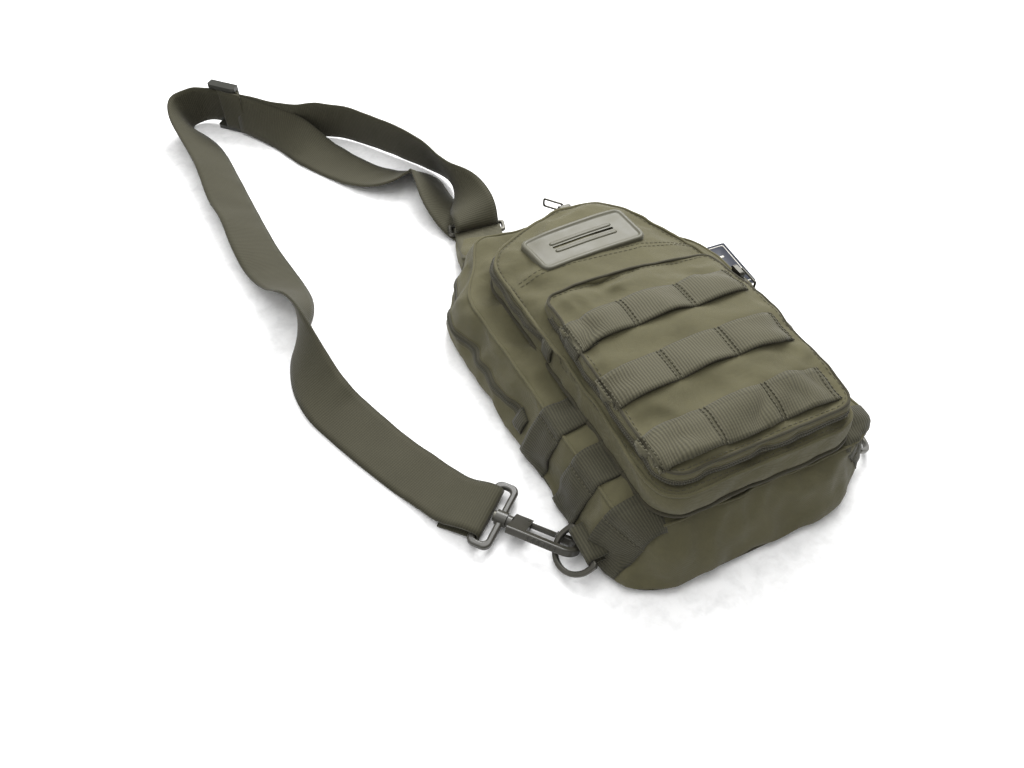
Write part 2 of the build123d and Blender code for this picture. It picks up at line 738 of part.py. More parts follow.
with BuildPart() as hook_gate:
    with BuildSketch(hook_plane.offset(-gate_thickness / 2)):
        with Locations(((gate_pivot[0] + nose_start - gate_gap) / 2, gate_pivot[1])):
            Rectangle(nose_start - gate_gap - gate_pivot[0], gate_width)
        with Locations(gate_pivot):
            Circle(gate_width / 2)
            Circle(pivot_radius + running_clearance, mode=Mode.SUBTRACT)
    extrude(amount=gate_thickness)
save(hook_gate, "hook_gate")

with BuildPart() as gate_spring:
    with BuildSketch(hook_plane.offset(gate_thickness / 2 + 0.12)):
        with Locations(gate_pivot):
            Circle(pivot_radius + 0.7)
            Circle(pivot_radius + running_clearance, mode=Mode.SUBTRACT)
    extrude(amount=0.5)
save(gate_spring, "gate_spring")

with BuildPart() as swivel_pin:
    with BuildSketch(swivel_plane.offset(-boss_length - 0.3)):
        Circle(swivel_radius)
    extrude(amount=boss_length + 3.7)
    with BuildSketch(swivel_plane.offset(-boss_length - 1.7)):
        Circle(swivel_head)
    extrude(amount=1.4)
save(swivel_pin, "swivel_pin")

loop_middle = -boss_length / 2 - loop_gap / 2
with BuildPart() as swivel_loop:
    loop_centre = loop_plane.from_local_coords(Vector(loop_middle, 0, 0))
    add(frame_ring(Plane(origin=loop_centre, x_dir=nose_way, z_dir=(0, 0, 1)),
                   loop_inside, loop_gap - loop_wire, loop_wire, 5.5, 1.5))
    with BuildSketch(swivel_plane):
        Circle(boss_radius)
    extrude(amount=-boss_length)
    with BuildSketch(swivel_plane.offset(5)):
        Circle(swivel_radius + running_clearance)
    extrude(amount=-boss_length - 8, mode=Mode.SUBTRACT)
save(swivel_loop, "swivel_loop")

strap_bar = loop_middle - loop_gap / 2
loop_leg = loop_wire / 2 + 0.65 + webbing / 2
hook_side_plane = Plane(origin=hook_foot, x_dir=nose_way, z_dir=-gate_way)
low = -hook_foot[2] + webbing / 2 + 0.05
with BuildPart() as strap_hook_fold:
    add(hairpin(hook_side_plane,
                [(-46, low + webbing), (strap_bar - 5, loop_leg), (strap_bar + loop_leg, loop_leg),
                 (strap_bar + loop_leg, -loop_leg), (strap_bar - 5, -loop_leg), (-46, low)],
                [12, loop_leg - 0.2, loop_leg - 0.2, 12], strap_width))
    add(strap_floor_run.part, mode=Mode.SUBTRACT)
save(strap_hook_fold, "strap_hook_fold")


# ---------- sliders and pulls ----------
def slider(plane):
    """A zip slider on a plane: x along the zip, y across it, z outwards from the tape."""
    with BuildPart() as body:
        with BuildSketch(plane.offset(slider_clearance)):
            RectangleRounded(slider_length, slider_width, 2.0)
        extrude(amount=slider_height)
        with BuildSketch(plane):
            Rectangle(2 * slider_length, coil_width + 2 * slider_clearance)
        extrude(amount=coil_height + slider_clearance, mode=Mode.SUBTRACT)
        with BuildSketch(plane.offset(slider_clearance + slider_height)):
            RectangleRounded(7.0, 2.6, 0.6)
        extrude(amount=3.2)
        across_zip = Plane(origin=plane.origin, x_dir=plane.x_dir, z_dir=plane.y_dir)
        with BuildSketch(across_zip):
            with Locations((0, -pull_axis)):
                Circle(pull_hole / 2)
        extrude(amount=slider_width, both=True, mode=Mode.SUBTRACT)
    return body


def pull(plane, angle):
    """A wire pull through the slider's bridge, turned up from the tape by angle."""
    centre = plane.from_local_coords(Vector(0, 0, pull_axis))
    lying = plane.x_dir * cos(radians(angle)) + plane.z_dir * sin(radians(angle))
    middle = centre + lying * (pull_length / 2 - pull_wire / 2)
    with BuildPart() as wire:
        add(frame_ring(Plane(origin=middle, x_dir=lying, z_dir=lying.cross(plane.y_dir)),
                       pull_width - 2 * pull_wire, pull_length - 2 * pull_wire, pull_wire, 1.9, 0.6))
    return wire


pull_axis = slider_clearance + slider_height + 1.7


def right_wall_plane(y, z):
    """A plane on the main compartment's right wall, x along the zip."""
    end, top = wall_line(1, z)
    way = (top - end).normalized()
    rise = main_top - back_thickness
    lean = Vector(wall_x(1, y, main_top) - wall_x(1, y, back_thickness), 0, rise)
    return Plane(origin=(wall_x(1, y, z), y, z), x_dir=way, z_dir=way.cross(lean).normalized())


main_slider_gap = slider_length + 1.0
for number, sign in ((1, 1), (2, -1)):
    spot = right_wall_plane(main_sliders_y + sign * main_slider_gap / 2, main_zip_z)
    spot = Plane(origin=spot.origin, x_dir=spot.x_dir * sign, z_dir=spot.z_dir)
    save(slider(spot), f"main_slider_{number}")
    save(pull(spot, 0), f"main_pull_{number}")
    print("main slider", number, spot.origin, spot.x_dir, spot.z_dir, spot.y_dir)

front_spot = Plane(origin=(slump, front_arch_y, front_zip_z), x_dir=(-1, 0, 0), z_dir=(0, 1, 0))
front_pull_angle = 50.0
save(slider(front_spot), "front_slider")
save(pull(front_spot, front_pull_angle), "front_pull")

pocket_spot = Plane(origin=(pocket_right, pocket_slider_y, pocket_zip_z), x_dir=(0, -1, 0), z_dir=(1, 0, 0))
save(slider(pocket_spot), "pocket_slider")
save(pull(pocket_spot, 0), "pocket_pull")

# ---------- swing tag ----------
with BuildPart() as swing_tag:
    with BuildSketch(Plane(origin=(*tag_corner, floor_gap)).rotated((0, 0, tag_angle))):
        Rectangle(tag_width, tag_length, align=(Align.MIN, Align.MIN))
    extrude(amount=tag_thickness)
save(swing_tag, "swing_tag")

print("neck ring bar", neck_plane.from_local_coords(Vector(0, near_bar, neck_ring_z)), "axis", across)
print("hook", nose_way, gate_way, hook_plane.z_dir)
print("gate pivot", hook_plane.from_local_coords(Vector(*gate_pivot, 0)))
print("glide", glide_along)
print("pull axis height", pull_axis)
print("front arch centre", (slump, front_arch_y - arch_radius))
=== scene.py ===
from math import atan2, cos, hypot, pi, radians, sin

import bmesh
import bpy
from mathutils import Matrix, Vector, noise
from mathutils.bvhtree import BVHTree


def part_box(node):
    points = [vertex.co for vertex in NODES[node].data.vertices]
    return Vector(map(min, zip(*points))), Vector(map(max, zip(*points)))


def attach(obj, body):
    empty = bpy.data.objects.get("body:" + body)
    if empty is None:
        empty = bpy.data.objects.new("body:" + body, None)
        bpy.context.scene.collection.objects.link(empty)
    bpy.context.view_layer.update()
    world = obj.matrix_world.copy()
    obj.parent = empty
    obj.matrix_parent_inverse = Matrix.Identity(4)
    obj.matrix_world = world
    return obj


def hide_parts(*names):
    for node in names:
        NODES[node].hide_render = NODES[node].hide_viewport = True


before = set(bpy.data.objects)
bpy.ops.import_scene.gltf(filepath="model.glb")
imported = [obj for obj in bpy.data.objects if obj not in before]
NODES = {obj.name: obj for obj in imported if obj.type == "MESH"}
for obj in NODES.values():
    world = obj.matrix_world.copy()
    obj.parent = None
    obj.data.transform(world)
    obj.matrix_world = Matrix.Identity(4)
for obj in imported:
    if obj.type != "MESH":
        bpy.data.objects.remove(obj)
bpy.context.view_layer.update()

# A one-strap sling bag on its back: padded body, zips, webbing rows, hook, rings and the long strap.
# Metres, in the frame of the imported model.

UP = Vector((0, 0, 1))
MM = 0.001

WEBBING = 0.0015
NARROW = 0.025
STRAP_WIDTH = 0.038


# ---------- camera, light and floor ----------
def look(position, forward, roll, lens):
    """A camera at a position, looking along forward, rolled by an angle in degrees."""
    ahead = Vector(forward).normalized()
    level = ahead.cross(UP).normalized()
    rise = level.cross(ahead)
    turn = radians(roll)
    right = level * cos(turn) + rise * sin(turn)
    above = right.cross(ahead)
    data = bpy.data.cameras.new("camera")
    data.lens = lens
    data.sensor_width = 36.0
    data.clip_start = 0.01
    camera = bpy.data.objects.new("camera", data)
    camera.matrix_world = Matrix((
        (right.x, above.x, -ahead.x, position[0]), (right.y, above.y, -ahead.y, position[1]),
        (right.z, above.z, -ahead.z, position[2]), (0, 0, 0, 1)))
    bpy.context.collection.objects.link(camera)
    bpy.context.scene.camera = camera


look((-0.2436, -0.3072, 0.4704), (0.272, 0.567, -0.777), 0.8, 29.13)


def soft_light(name, place, aim, size, power):
    """A square area light aimed at a point."""
    data = bpy.data.lights.new(name, "AREA")
    data.size = size
    data.energy = power
    lamp = bpy.data.objects.new(name, data)
    lamp.location = place
    lamp.rotation_euler = (Vector(aim) - Vector(place)).to_track_quat("-Z", "Y").to_euler()
    bpy.context.collection.objects.link(lamp)


soft_light("key", (0.55, 0.75, 1.0), (0, 0.05, 0), 0.75, 27.0)
soft_light("fill", (-0.8, -0.2, 0.9), (0, 0, 0), 1.2, 3.5)
soft_light("top", (-0.1, 0.2, 1.4), (0, 0.05, 0), 1.2, 12.0)
world = bpy.data.worlds.new("studio")
world.use_nodes = True
world.node_tree.nodes["Background"].inputs["Color"].default_value = (1.0, 1.0, 1.0, 1.0)
world.node_tree.nodes["Background"].inputs["Strength"].default_value = 0.42
bpy.context.scene.world = world
bpy.context.scene.view_settings.view_transform = "Standard"


# ---------- node helpers ----------
def new_group(name, inputs, outputs):
    """An empty shader node group with named sockets."""
    group = bpy.data.node_groups.new(name, "ShaderNodeTree")
    for label, kind, value in inputs:
        socket = group.interface.new_socket(name=label, in_out="INPUT", socket_type=kind)
        if value is not None:
            socket.default_value = value
    for label, kind in outputs:
        group.interface.new_socket(name=label, in_out="OUTPUT", socket_type=kind)
    return group, group.nodes.new("NodeGroupInput"), group.nodes.new("NodeGroupOutput")


def node(tree, kind, values=None, **settings):
    """A node with its settings, and its inputs given as values or as sockets to link."""
    made = tree.nodes.new(kind)
    for key, value in settings.items():
        setattr(made, key, value)
    for key, value in (values or {}).items():
        if isinstance(value, bpy.types.NodeSocket):
            tree.links.new(value, made.inputs[key])
        else:
            made.inputs[key].default_value = value
    return made


def math(tree, operation, first, second=None, third=None):
    """The result of a math node."""
    values = {0: first}
    if second is not None:
        values[1] = second
    if third is not None:
        values[2] = third
    return node(tree, "ShaderNodeMath", values, operation=operation).outputs[0]


def mixed(tree, share, first, second):
    """Two colours mixed by a share."""
    made = node(tree, "ShaderNodeMix", data_type="RGBA")
    for slot_index, value in ((0, share), (6, first), (7, second)):
        if isinstance(value, bpy.types.NodeSocket):
            tree.links.new(value, made.inputs[slot_index])
        else:
            made.inputs[slot_index].default_value = value
    return made.outputs[2]


def shade(colour, factor):
    """A colour made lighter or darker, with alpha."""
    return (*[min(1.0, part * factor) for part in colour[:3]], 1.0)


# Cloth: uneven dye, a fine weave and soft wear.
cloth_group, gin, gout = new_group("cloth_surface", [
    ("Vector", "NodeSocketVector", None), ("Colour", "NodeSocketColor", (0.2, 0.2, 0.1, 1)),
    ("Weave", "NodeSocketFloat", 900.0), ("Depth", "NodeSocketFloat", 0.3), ("Crumple", "NodeSocketFloat", 8.0),
], [("Colour", "NodeSocketColor"), ("Height", "NodeSocketFloat"), ("Roughness", "NodeSocketFloat")])
t = cloth_group
broad = node(t, "ShaderNodeTexNoise", {"Vector": gin.outputs["Vector"], "Scale": 22.0, "Detail": 4.0})
mottle = node(t, "ShaderNodeTexNoise", {"Vector": gin.outputs["Vector"], "Scale": 260.0, "Detail": 3.0})
thread = node(t, "ShaderNodeTexNoise", {"Vector": gin.outputs["Vector"], "Scale": gin.outputs["Weave"],
                                        "Detail": 2.0, "Roughness": 0.6})
warp = node(t, "ShaderNodeTexWave", {"Vector": gin.outputs["Vector"], "Scale": math(t, "MULTIPLY", gin.outputs["Weave"], 0.55),
                                     "Distortion": 1.2, "Detail": 1.0}, wave_type="BANDS", bands_direction="X")
weft = node(t, "ShaderNodeTexWave", {"Vector": gin.outputs["Vector"], "Scale": math(t, "MULTIPLY", gin.outputs["Weave"], 0.55),
                                     "Distortion": 1.2, "Detail": 1.0}, wave_type="BANDS", bands_direction="Y")
weave = math(t, "MULTIPLY", warp.outputs["Fac"], weft.outputs["Fac"])
tone = math(t, "MULTIPLY_ADD", broad.outputs["Fac"], 0.34, 0.80)
tone = math(t, "MULTIPLY_ADD", mottle.outputs["Fac"], 0.22, math(t, "SUBTRACT", tone, 0.08))
tone = math(t, "MULTIPLY_ADD", weave, 0.16, math(t, "SUBTRACT", tone, 0.04))
scaled = node(t, "ShaderNodeVectorMath", {0: gin.outputs["Colour"], "Scale": tone}, operation="SCALE")
t.links.new(scaled.outputs[0], gout.inputs["Colour"])
fine = math(t, "MULTIPLY_ADD", weave, 0.6, math(t, "MULTIPLY", thread.outputs["Fac"], 0.4))
crumple = node(t, "ShaderNodeTexNoise", {"Vector": gin.outputs["Vector"], "Scale": 34.0, "Detail": 5.0, "Distortion": 0.9})
pucker = math(t, "ABSOLUTE", math(t, "SUBTRACT", crumple.outputs["Fac"], 0.5))
fine = math(t, "MULTIPLY_ADD", pucker, gin.outputs["Crumple"], fine)
t.links.new(math(t, "MULTIPLY", fine, gin.outputs["Depth"]), gout.inputs["Height"])
t.links.new(math(t, "MULTIPLY_ADD", mottle.outputs["Fac"], 0.16, 0.74), gout.inputs["Roughness"])

# Webbing: ribs across its length, a herringbone shimmer and darker selvedges, from the piece's own UV in metres.
rib_group, gin, gout = new_group("webbing_surface", [
    ("Vector", "NodeSocketVector", None), ("Colour", "NodeSocketColor", (0.2, 0.2, 0.1, 1)),
    ("Width", "NodeSocketFloat", 0.025), ("Pitch", "NodeSocketFloat", 0.0019), ("Contrast", "NodeSocketFloat", 0.35),
], [("Colour", "NodeSocketColor"), ("Height", "NodeSocketFloat"), ("Roughness", "NodeSocketFloat")])
t = rib_group
split = node(t, "ShaderNodeSeparateXYZ", {0: gin.outputs["Vector"]})
wobble = node(t, "ShaderNodeTexNoise", {"Vector": gin.outputs["Vector"], "Scale": 180.0, "Detail": 2.0})
along = math(t, "MULTIPLY_ADD", wobble.outputs["Fac"], 0.0007, split.outputs["X"])
rib = math(t, "SINE", math(t, "MULTIPLY", math(t, "DIVIDE", along, gin.outputs["Pitch"]), 2 * pi))
rib = math(t, "MULTIPLY_ADD", rib, 0.5, 0.5)
cross = math(t, "SINE", math(t, "MULTIPLY", math(t, "DIVIDE", split.outputs["Y"], 0.0016), 2 * pi))
cross = math(t, "MULTIPLY_ADD", cross, 0.5, 0.5)
edge_share = math(t, "ABSOLUTE", math(t, "SUBTRACT", math(t, "DIVIDE", split.outputs["Y"], gin.outputs["Width"]), 0.5))
selvedge = math(t, "GREATER_THAN", edge_share, 0.455)
blotch = node(t, "ShaderNodeTexNoise", {"Vector": gin.outputs["Vector"], "Scale": 45.0, "Detail": 4.0})
speck = node(t, "ShaderNodeTexNoise", {"Vector": gin.outputs["Vector"], "Scale": 700.0, "Detail": 2.0})
tone = math(t, "MULTIPLY_ADD", rib, gin.outputs["Contrast"], math(t, "SUBTRACT", 0.98, math(t, "MULTIPLY", gin.outputs["Contrast"], 0.5)))
tone = math(t, "MULTIPLY_ADD", blotch.outputs["Fac"], 0.22, math(t, "SUBTRACT", tone, 0.11))
tone = math(t, "MULTIPLY_ADD", speck.outputs["Fac"], 0.24, math(t, "SUBTRACT", tone, 0.12))
tone = math(t, "MULTIPLY_ADD", selvedge, -0.10, tone)
scaled = node(t, "ShaderNodeVectorMath", {0: gin.outputs["Colour"], "Scale": tone}, operation="SCALE")
t.links.new(scaled.outputs[0], gout.inputs["Colour"])
height = math(t, "MULTIPLY_ADD", rib, 0.8, math(t, "MULTIPLY", cross, 0.2))
t.links.new(height, gout.inputs["Height"])
t.links.new(math(t, "MULTIPLY_ADD", speck.outputs["Fac"], 0.2, 0.66), gout.inputs["Roughness"])

# Moulded parts: faint flow marks and rubbed patches.
mould_group, gin, gout = new_group("moulded_surface", [
    ("Vector", "NodeSocketVector", None), ("Colour", "NodeSocketColor", (0.1, 0.1, 0.1, 1)),
    ("Grain", "NodeSocketFloat", 1200.0), ("Gloss", "NodeSocketFloat", 0.42),
], [("Colour", "NodeSocketColor"), ("Height", "NodeSocketFloat"), ("Roughness", "NodeSocketFloat")])
t = mould_group
flow = node(t, "ShaderNodeTexNoise", {"Vector": gin.outputs["Vector"], "Scale": 90.0, "Detail": 3.0, "Distortion": 0.6})
grain = node(t, "ShaderNodeTexNoise", {"Vector": gin.outputs["Vector"], "Scale": gin.outputs["Grain"], "Detail": 2.0})
tone = math(t, "MULTIPLY_ADD", flow.outputs["Fac"], 0.36, 0.80)
tone = math(t, "MULTIPLY_ADD", grain.outputs["Fac"], 0.14, math(t, "SUBTRACT", tone, 0.06))
scaled = node(t, "ShaderNodeVectorMath", {0: gin.outputs["Colour"], "Scale": tone}, operation="SCALE")
t.links.new(scaled.outputs[0], gout.inputs["Colour"])
t.links.new(grain.outputs["Fac"], gout.inputs["Height"])
t.links.new(math(t, "MULTIPLY_ADD", flow.outputs["Fac"], 0.22, gin.outputs["Gloss"]), gout.inputs["Roughness"])


def material(name, group, colour, values, uv=False, bump=0.3, distance=0.0004, **shader):
    """A finish made from one of the surface groups, with its own colour and constants."""
    finish = bpy.data.materials.new(name)
    finish.use_nodes = True
    tree = finish.node_tree
    surface = tree.nodes["Principled BSDF"]
    where = node(tree, "ShaderNodeTexCoord").outputs["UV" if uv else "Object"]
    made = node(tree, "ShaderNodeGroup", node_tree=group)
    tree.links.new(where, made.inputs["Vector"])
    made.inputs["Colour"].default_value = (*colour, 1.0)
    for key, value in values.items():
        made.inputs[key].default_value = value
    raised = node(tree, "ShaderNodeBump", {"Height": made.outputs["Height"], "Strength": bump, "Distance": distance})
    tree.links.new(made.outputs["Colour"], surface.inputs["Base Color"])
    tree.links.new(made.outputs["Roughness"], surface.inputs["Roughness"])
    tree.links.new(raised.outputs["Normal"], surface.inputs["Normal"])
    for key, value in shader.items():
        surface.inputs[key.replace("_", " ")].default_value = value
    return finish


SOFT = {"Sheen_Weight": 0.08, "Sheen_Roughness": 0.5, "Specular_IOR_Level": 0.22}
olive = (0.086, 0.079, 0.042)
cloth = material("body_cloth", cloth_group, olive, {"Weave": 1100.0, "Depth": 1.0}, bump=0.45, **SOFT)
# A copy of the body cloth at about half its brightness, for painted shade: it darkens the rolled seams in the creases
# where the compartments meet, and the pocket's edge piping.
seam_shade_cloth = material("painted_shade_cloth", cloth_group, (0.042, 0.038, 0.023), {"Weave": 1300.0, "Depth": 1.0}, bump=0.5, **SOFT)
pale_piping = material("piping_cloth", cloth_group, (0.120, 0.106, 0.060), {"Weave": 1500.0, "Depth": 1.0}, bump=0.5, **SOFT)
back_mesh = material("back_mesh", cloth_group, (0.055, 0.051, 0.032), {"Weave": 520.0, "Depth": 1.0}, bump=0.9, distance=0.001, **SOFT)
row_webbing = material("row_webbing", rib_group, (0.074, 0.069, 0.043), {"Width": NARROW, "Contrast": 0.42}, uv=True, bump=0.6, **SOFT)
side_webbing = material("side_webbing", rib_group, (0.048, 0.045, 0.028), {"Width": NARROW, "Contrast": 0.45}, uv=True, bump=0.6, **SOFT)
strap_webbing = material("strap_webbing", rib_group, (0.046, 0.043, 0.026), {"Width": STRAP_WIDTH, "Pitch": 0.0017, "Contrast": 0.26}, uv=True, bump=0.45, **SOFT)
zip_tape = material("zip_tape", rib_group, (0.056, 0.051, 0.030), {"Width": 0.007, "Pitch": 0.0011, "Contrast": 0.3}, uv=True, bump=0.4, **SOFT)
zip_coil = material("zip_coil", rib_group, (0.044, 0.041, 0.025), {"Width": 0.004, "Pitch": 0.0016, "Contrast": 0.6}, uv=True, bump=1.0, distance=0.0008, Specular_IOR_Level=0.5)
thread = material("thread", cloth_group, (0.080, 0.074, 0.047), {"Weave": 2500.0, "Depth": 1.0}, bump=0.4, **SOFT)
plastic = material("hook_plastic", mould_group, (0.038, 0.036, 0.028), {"Gloss": 0.20}, bump=0.12, distance=0.0002, Specular_IOR_Level=0.5)
dark_plastic = material("slider_plastic", mould_group, (0.030, 0.030, 0.024), {"Gloss": 0.30}, bump=0.12, distance=0.0002)
wire = material("ring_metal", mould_group, (0.075, 0.072, 0.060), {"Gloss": 0.26, "Grain": 2000.0}, bump=0.1, distance=0.0001, Metallic=0.75)
zip_metal = material("zip_metal", mould_group, (0.045, 0.043, 0.034), {"Gloss": 0.30, "Grain": 2400.0}, bump=0.15, distance=0.0001, Metallic=0.55)
rubber = material("patch_rubber", mould_group, (0.084, 0.080, 0.054), {"Gloss": 0.42, "Grain": 1500.0}, bump=0.35, distance=0.0002)
card = material("tag_card", mould_group, (0.018, 0.021, 0.032), {"Gloss": 0.30, "Grain": 900.0}, bump=0.1, distance=0.0001)
card_line = material("tag_line", mould_group, (0.62, 0.60, 0.54), {"Gloss": 0.4, "Grain": 900.0}, bump=0.1, distance=0.0001)
floor_finish = material("floor_paper", mould_group, (0.97, 0.97, 0.97), {"Gloss": 0.8, "Grain": 300.0}, bump=0.02, distance=0.0001)

bpy.ops.mesh.primitive_plane_add(size=12.0, location=(0, 0, -0.0004))
floor = bpy.context.object
floor.name = "floor"
floor.data.materials.append(floor_finish)


# ---------- mesh helpers ----------
def piece(mesh_builder, name, finish, body, replaces=(), facing=None):
    """A finished bmesh as a piece that rides on a body. facing turns the faces to point that way, or away from that point."""
    bmesh.ops.remove_doubles(mesh_builder, verts=mesh_builder.verts, dist=1e-6)
    bmesh.ops.recalc_face_normals(mesh_builder, faces=mesh_builder.faces)
    if facing is not None:
        total = 0.0
        for face in mesh_builder.faces:
            way = facing if isinstance(facing, Vector) else face.calc_center_median() - Vector(facing)
            total += face.normal.dot(way) * face.calc_area()
        if total < 0:
            bmesh.ops.reverse_faces(mesh_builder, faces=mesh_builder.faces)
    mesh = bpy.data.meshes.new(name)
    mesh_builder.to_mesh(mesh)
    mesh_builder.free()
    mesh.materials.append(finish)
    for polygon in mesh.polygons:
        polygon.use_smooth = True
    made = bpy.data.objects.new(name, mesh)
    bpy.context.collection.objects.link(made)
    if body:
        settle(made, body, replaces)
    return made


def settle(made, body, replaces=()):
    """Rides a piece on its body and hides the model parts it stands for."""
    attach(made, body)
    if replaces:
        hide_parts(*replaces)


def woven(rows):
    """A bmesh grid through rows of points, with UV in metres: u along a row, v from row to row."""
    wide, tall = len(rows[0]) - 1, len(rows) - 1
    bm = bmesh.new()
    bmesh.ops.create_grid(bm, x_segments=wide, y_segments=tall, size=1.0)
    layer = bm.loops.layers.uv.new("UVMap")
    bm.verts.ensure_lookup_table()
    middle = rows[len(rows) // 2]
    u = [0.0]
    for a, b in zip(middle, middle[1:]):
        u.append(u[-1] + (b - a).length)
    v = [0.0]
    step = wide // 2
    for a, b in zip(rows, rows[1:]):
        v.append(v[-1] + (b[step] - a[step]).length)
    spot = {}
    for vertex in bm.verts:
        i = round((vertex.co.x + 1) / 2 * wide)
        j = round((vertex.co.y + 1) / 2 * tall)
        spot[vertex] = (i, j)
        vertex.co = rows[j][i]
    for face in bm.faces:
        for loop in face.loops:
            i, j = spot[loop.vert]
            loop[layer].uv = (u[i], v[j])
    return bm


def thicken(made, amount, offset=1.0):
    """Gives a strip its thickness."""
    solid = made.modifiers.new("thickness", "SOLIDIFY")
    solid.thickness = amount
    solid.offset = offset
    solid.use_even_offset = True
    return made


def apply_modifiers(made):
    """Bakes a piece's modifiers into its mesh."""
    graph = bpy.context.evaluated_depsgraph_get()
    fresh = bpy.data.meshes.new_from_object(made.evaluated_get(graph))
    made.modifiers.clear()
    old = made.data
    made.data = fresh
    bpy.data.meshes.remove(old)
    return made


def spline_points(points, closed=False, resolution=10):
    """Points read from a smooth spline through control points."""
    data = bpy.data.curves.new("guide", "CURVE")
    data.dimensions = "3D"
    spline = data.splines.new("NURBS")
    spline.points.add(len(points) - 1)
    for control, place in zip(spline.points, points):
        control.co = (*place, 1.0)
    spline.order_u = 3
    spline.use_endpoint_u = not closed
    spline.use_cyclic_u = closed
    spline.resolution_u = resolution
    guide = bpy.data.objects.new("guide", data)
    bpy.context.collection.objects.link(guide)
    bpy.context.view_layer.update()
    line = bpy.data.meshes.new_from_object(guide)
    places = [v.co.copy() for v in line.vertices]
    bpy.data.objects.remove(guide)
    bpy.data.meshes.remove(line)
    return places


def evenly(points, count, closed=False):
    """count points spaced evenly along a line of points."""
    line = list(points) + ([points[0]] if closed else [])
    reach = [0.0]
    for a, b in zip(line, line[1:]):
        reach.append(reach[-1] + (b - a).length)
    spaced, at = [], 0
    for k in range(count):
        goal = reach[-1] * k / (count if closed else count - 1)
        while at < len(reach) - 2 and reach[at + 1] < goal:
            at += 1
        share = (goal - reach[at]) / max(reach[at + 1] - reach[at], 1e-9)
        spaced.append(line[at].lerp(line[at + 1], min(max(share, 0.0), 1.0)))
    return spaced


def outline(name, count):
    """The outer edge of a plate-like CAD node, as evenly spaced points from the middle of its bottom edge."""
    bm = bmesh.new()
    bm.from_mesh(NODES[name].data)
    bmesh.ops.remove_doubles(bm, verts=bm.verts, dist=1e-6)
    low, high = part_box(name)
    everything = [*bm.verts, *bm.edges, *bm.faces]
    bmesh.ops.bisect_plane(bm, geom=everything, plane_co=(low + high) / 2, plane_no=UP, clear_inner=True, clear_outer=True)
    middle = (low + high) / 2
    loop = sorted((v.co.copy() for v in bm.verts), key=lambda p: atan2(p.y - middle.y, p.x - middle.x))
    bm.free()
    spaced = evenly(loop, count * 4, closed=True)
    centre_x = (low.x + high.x) / 2
    bottom = min(range(len(spaced)), key=lambda k: abs(spaced[k].x - centre_x) + 3 * (spaced[k].y - low.y))
    spaced = spaced[bottom:] + spaced[:bottom]
    return [Vector((p.x, p.y, 0)) for p in evenly(spaced, count, closed=True)]


def grown(loop, amount):
    """An outline moved outwards by an amount."""
    moved = []
    for before, here, after in zip(loop[-1:] + loop[:-1], loop, loop[1:] + loop[:1]):
        along_edge = (after - before).normalized()
        moved.append(here + Vector((along_edge.y, -along_edge.x, 0)) * amount)
    return moved


def level(loop, z):
    """An outline lifted to a height."""
    return [Vector((p.x, p.y, z)) for p in loop]


def between(low, high, share):
    """An outline part of the way between two."""
    return [a.lerp(b, share) for a, b in zip(low, high)]


# ---------- padded compartments ----------
def capped(rows, foot=0.0, crown=0.0, steps=16):
    """A closed bmesh through rows of outlines, its ends closed towards their middles and the last end crowned."""
    def closing(loop, rise):
        centre = sum(loop, Vector()) / len(loop)
        ends = []
        for k in range(1, steps + 1):
            share = k / steps
            lift = rise * (1 - (1 - share) ** 2)
            ends.append([p.lerp(centre, share) + UP * lift for p in loop])
        return ends
    full = closing(rows[0], -foot)[::-1] + rows + closing(rows[-1], crown)
    return woven([loop + loop[:1] for loop in full])


def near_lines(lines, reach):
    """A test of whether a point lies within reach of any of some lines of points."""
    tree_points = [p for line in lines for p in evenly(line, 400, closed=True)]
    from mathutils.kdtree import KDTree
    tree = KDTree(len(tree_points))
    for index, p in enumerate(tree_points):
        tree.insert(p, index)
    tree.balance()
    return lambda co: tree.find(co)[2] < reach


def stuffed(name, rows, seams, crown, pressure, limit, voxel, slack, frames=24):
    """A sewn compartment filled out by cloth simulation: held at its seams, with a little spare cloth that creases."""
    blank = piece(capped(rows, crown=crown), name, cloth, None)
    mesher = blank.modifiers.new("even", "REMESH")
    mesher.mode = "VOXEL"
    mesher.voxel_size = voxel
    apply_modifiers(blank)
    mesh = blank.data
    mesh.materials.clear()
    mesh.materials.append(cloth)
    held = near_lines(seams, voxel * 1.1)
    start = [v.co.copy() for v in mesh.vertices]
    # A slight unevenness, so that the spare cloth has somewhere to fold.
    for v in mesh.vertices:
        ripple = noise.noise(v.co * 38.0) + 0.5 * noise.noise(v.co * 90.0)
        v.co += v.normal * 0.0011 * ripple
    group = blank.vertex_groups.new(name="seams")
    group.add([v.index for v in mesh.vertices if held(start[v.index])], 1.0, "REPLACE")
    drape = blank.modifiers.new("drape", "CLOTH")
    settings = drape.settings
    settings.quality = 6
    settings.mass = 0.25
    settings.use_pressure = True
    settings.uniform_pressure_force = pressure
    settings.vertex_group_mass = "seams"
    settings.shrink_min = -slack
    settings.bending_stiffness = 0.35
    settings.effector_weights.gravity = 0.0
    drape.point_cache.frame_start = 1
    drape.point_cache.frame_end = frames
    scene = bpy.context.scene
    for frame_number in range(1, frames + 1):
        scene.frame_set(frame_number)
    graph = bpy.context.evaluated_depsgraph_get()
    done = blank.evaluated_get(graph)
    swell = [v.co.copy() for v in done.data.vertices]
    blank.modifiers.clear()
    blank.vertex_groups.clear()
    scene.frame_set(1)
    for v, first, last in zip(mesh.vertices, start, swell):
        way = last - first
        if way.length > limit:
            way *= limit / way.length
        v.co = first + way
    mesh.update()
    return blank


def smoothed(made, rounds, amount=0.5):
    """Softens a mesh in place."""
    bm = bmesh.new()
    bm.from_mesh(made.data)
    for _ in range(rounds):
        bmesh.ops.smooth_vert(bm, verts=bm.verts, factor=amount, use_axis_x=True, use_axis_y=True, use_axis_z=True)
    bm.to_mesh(made.data)
    bm.free()


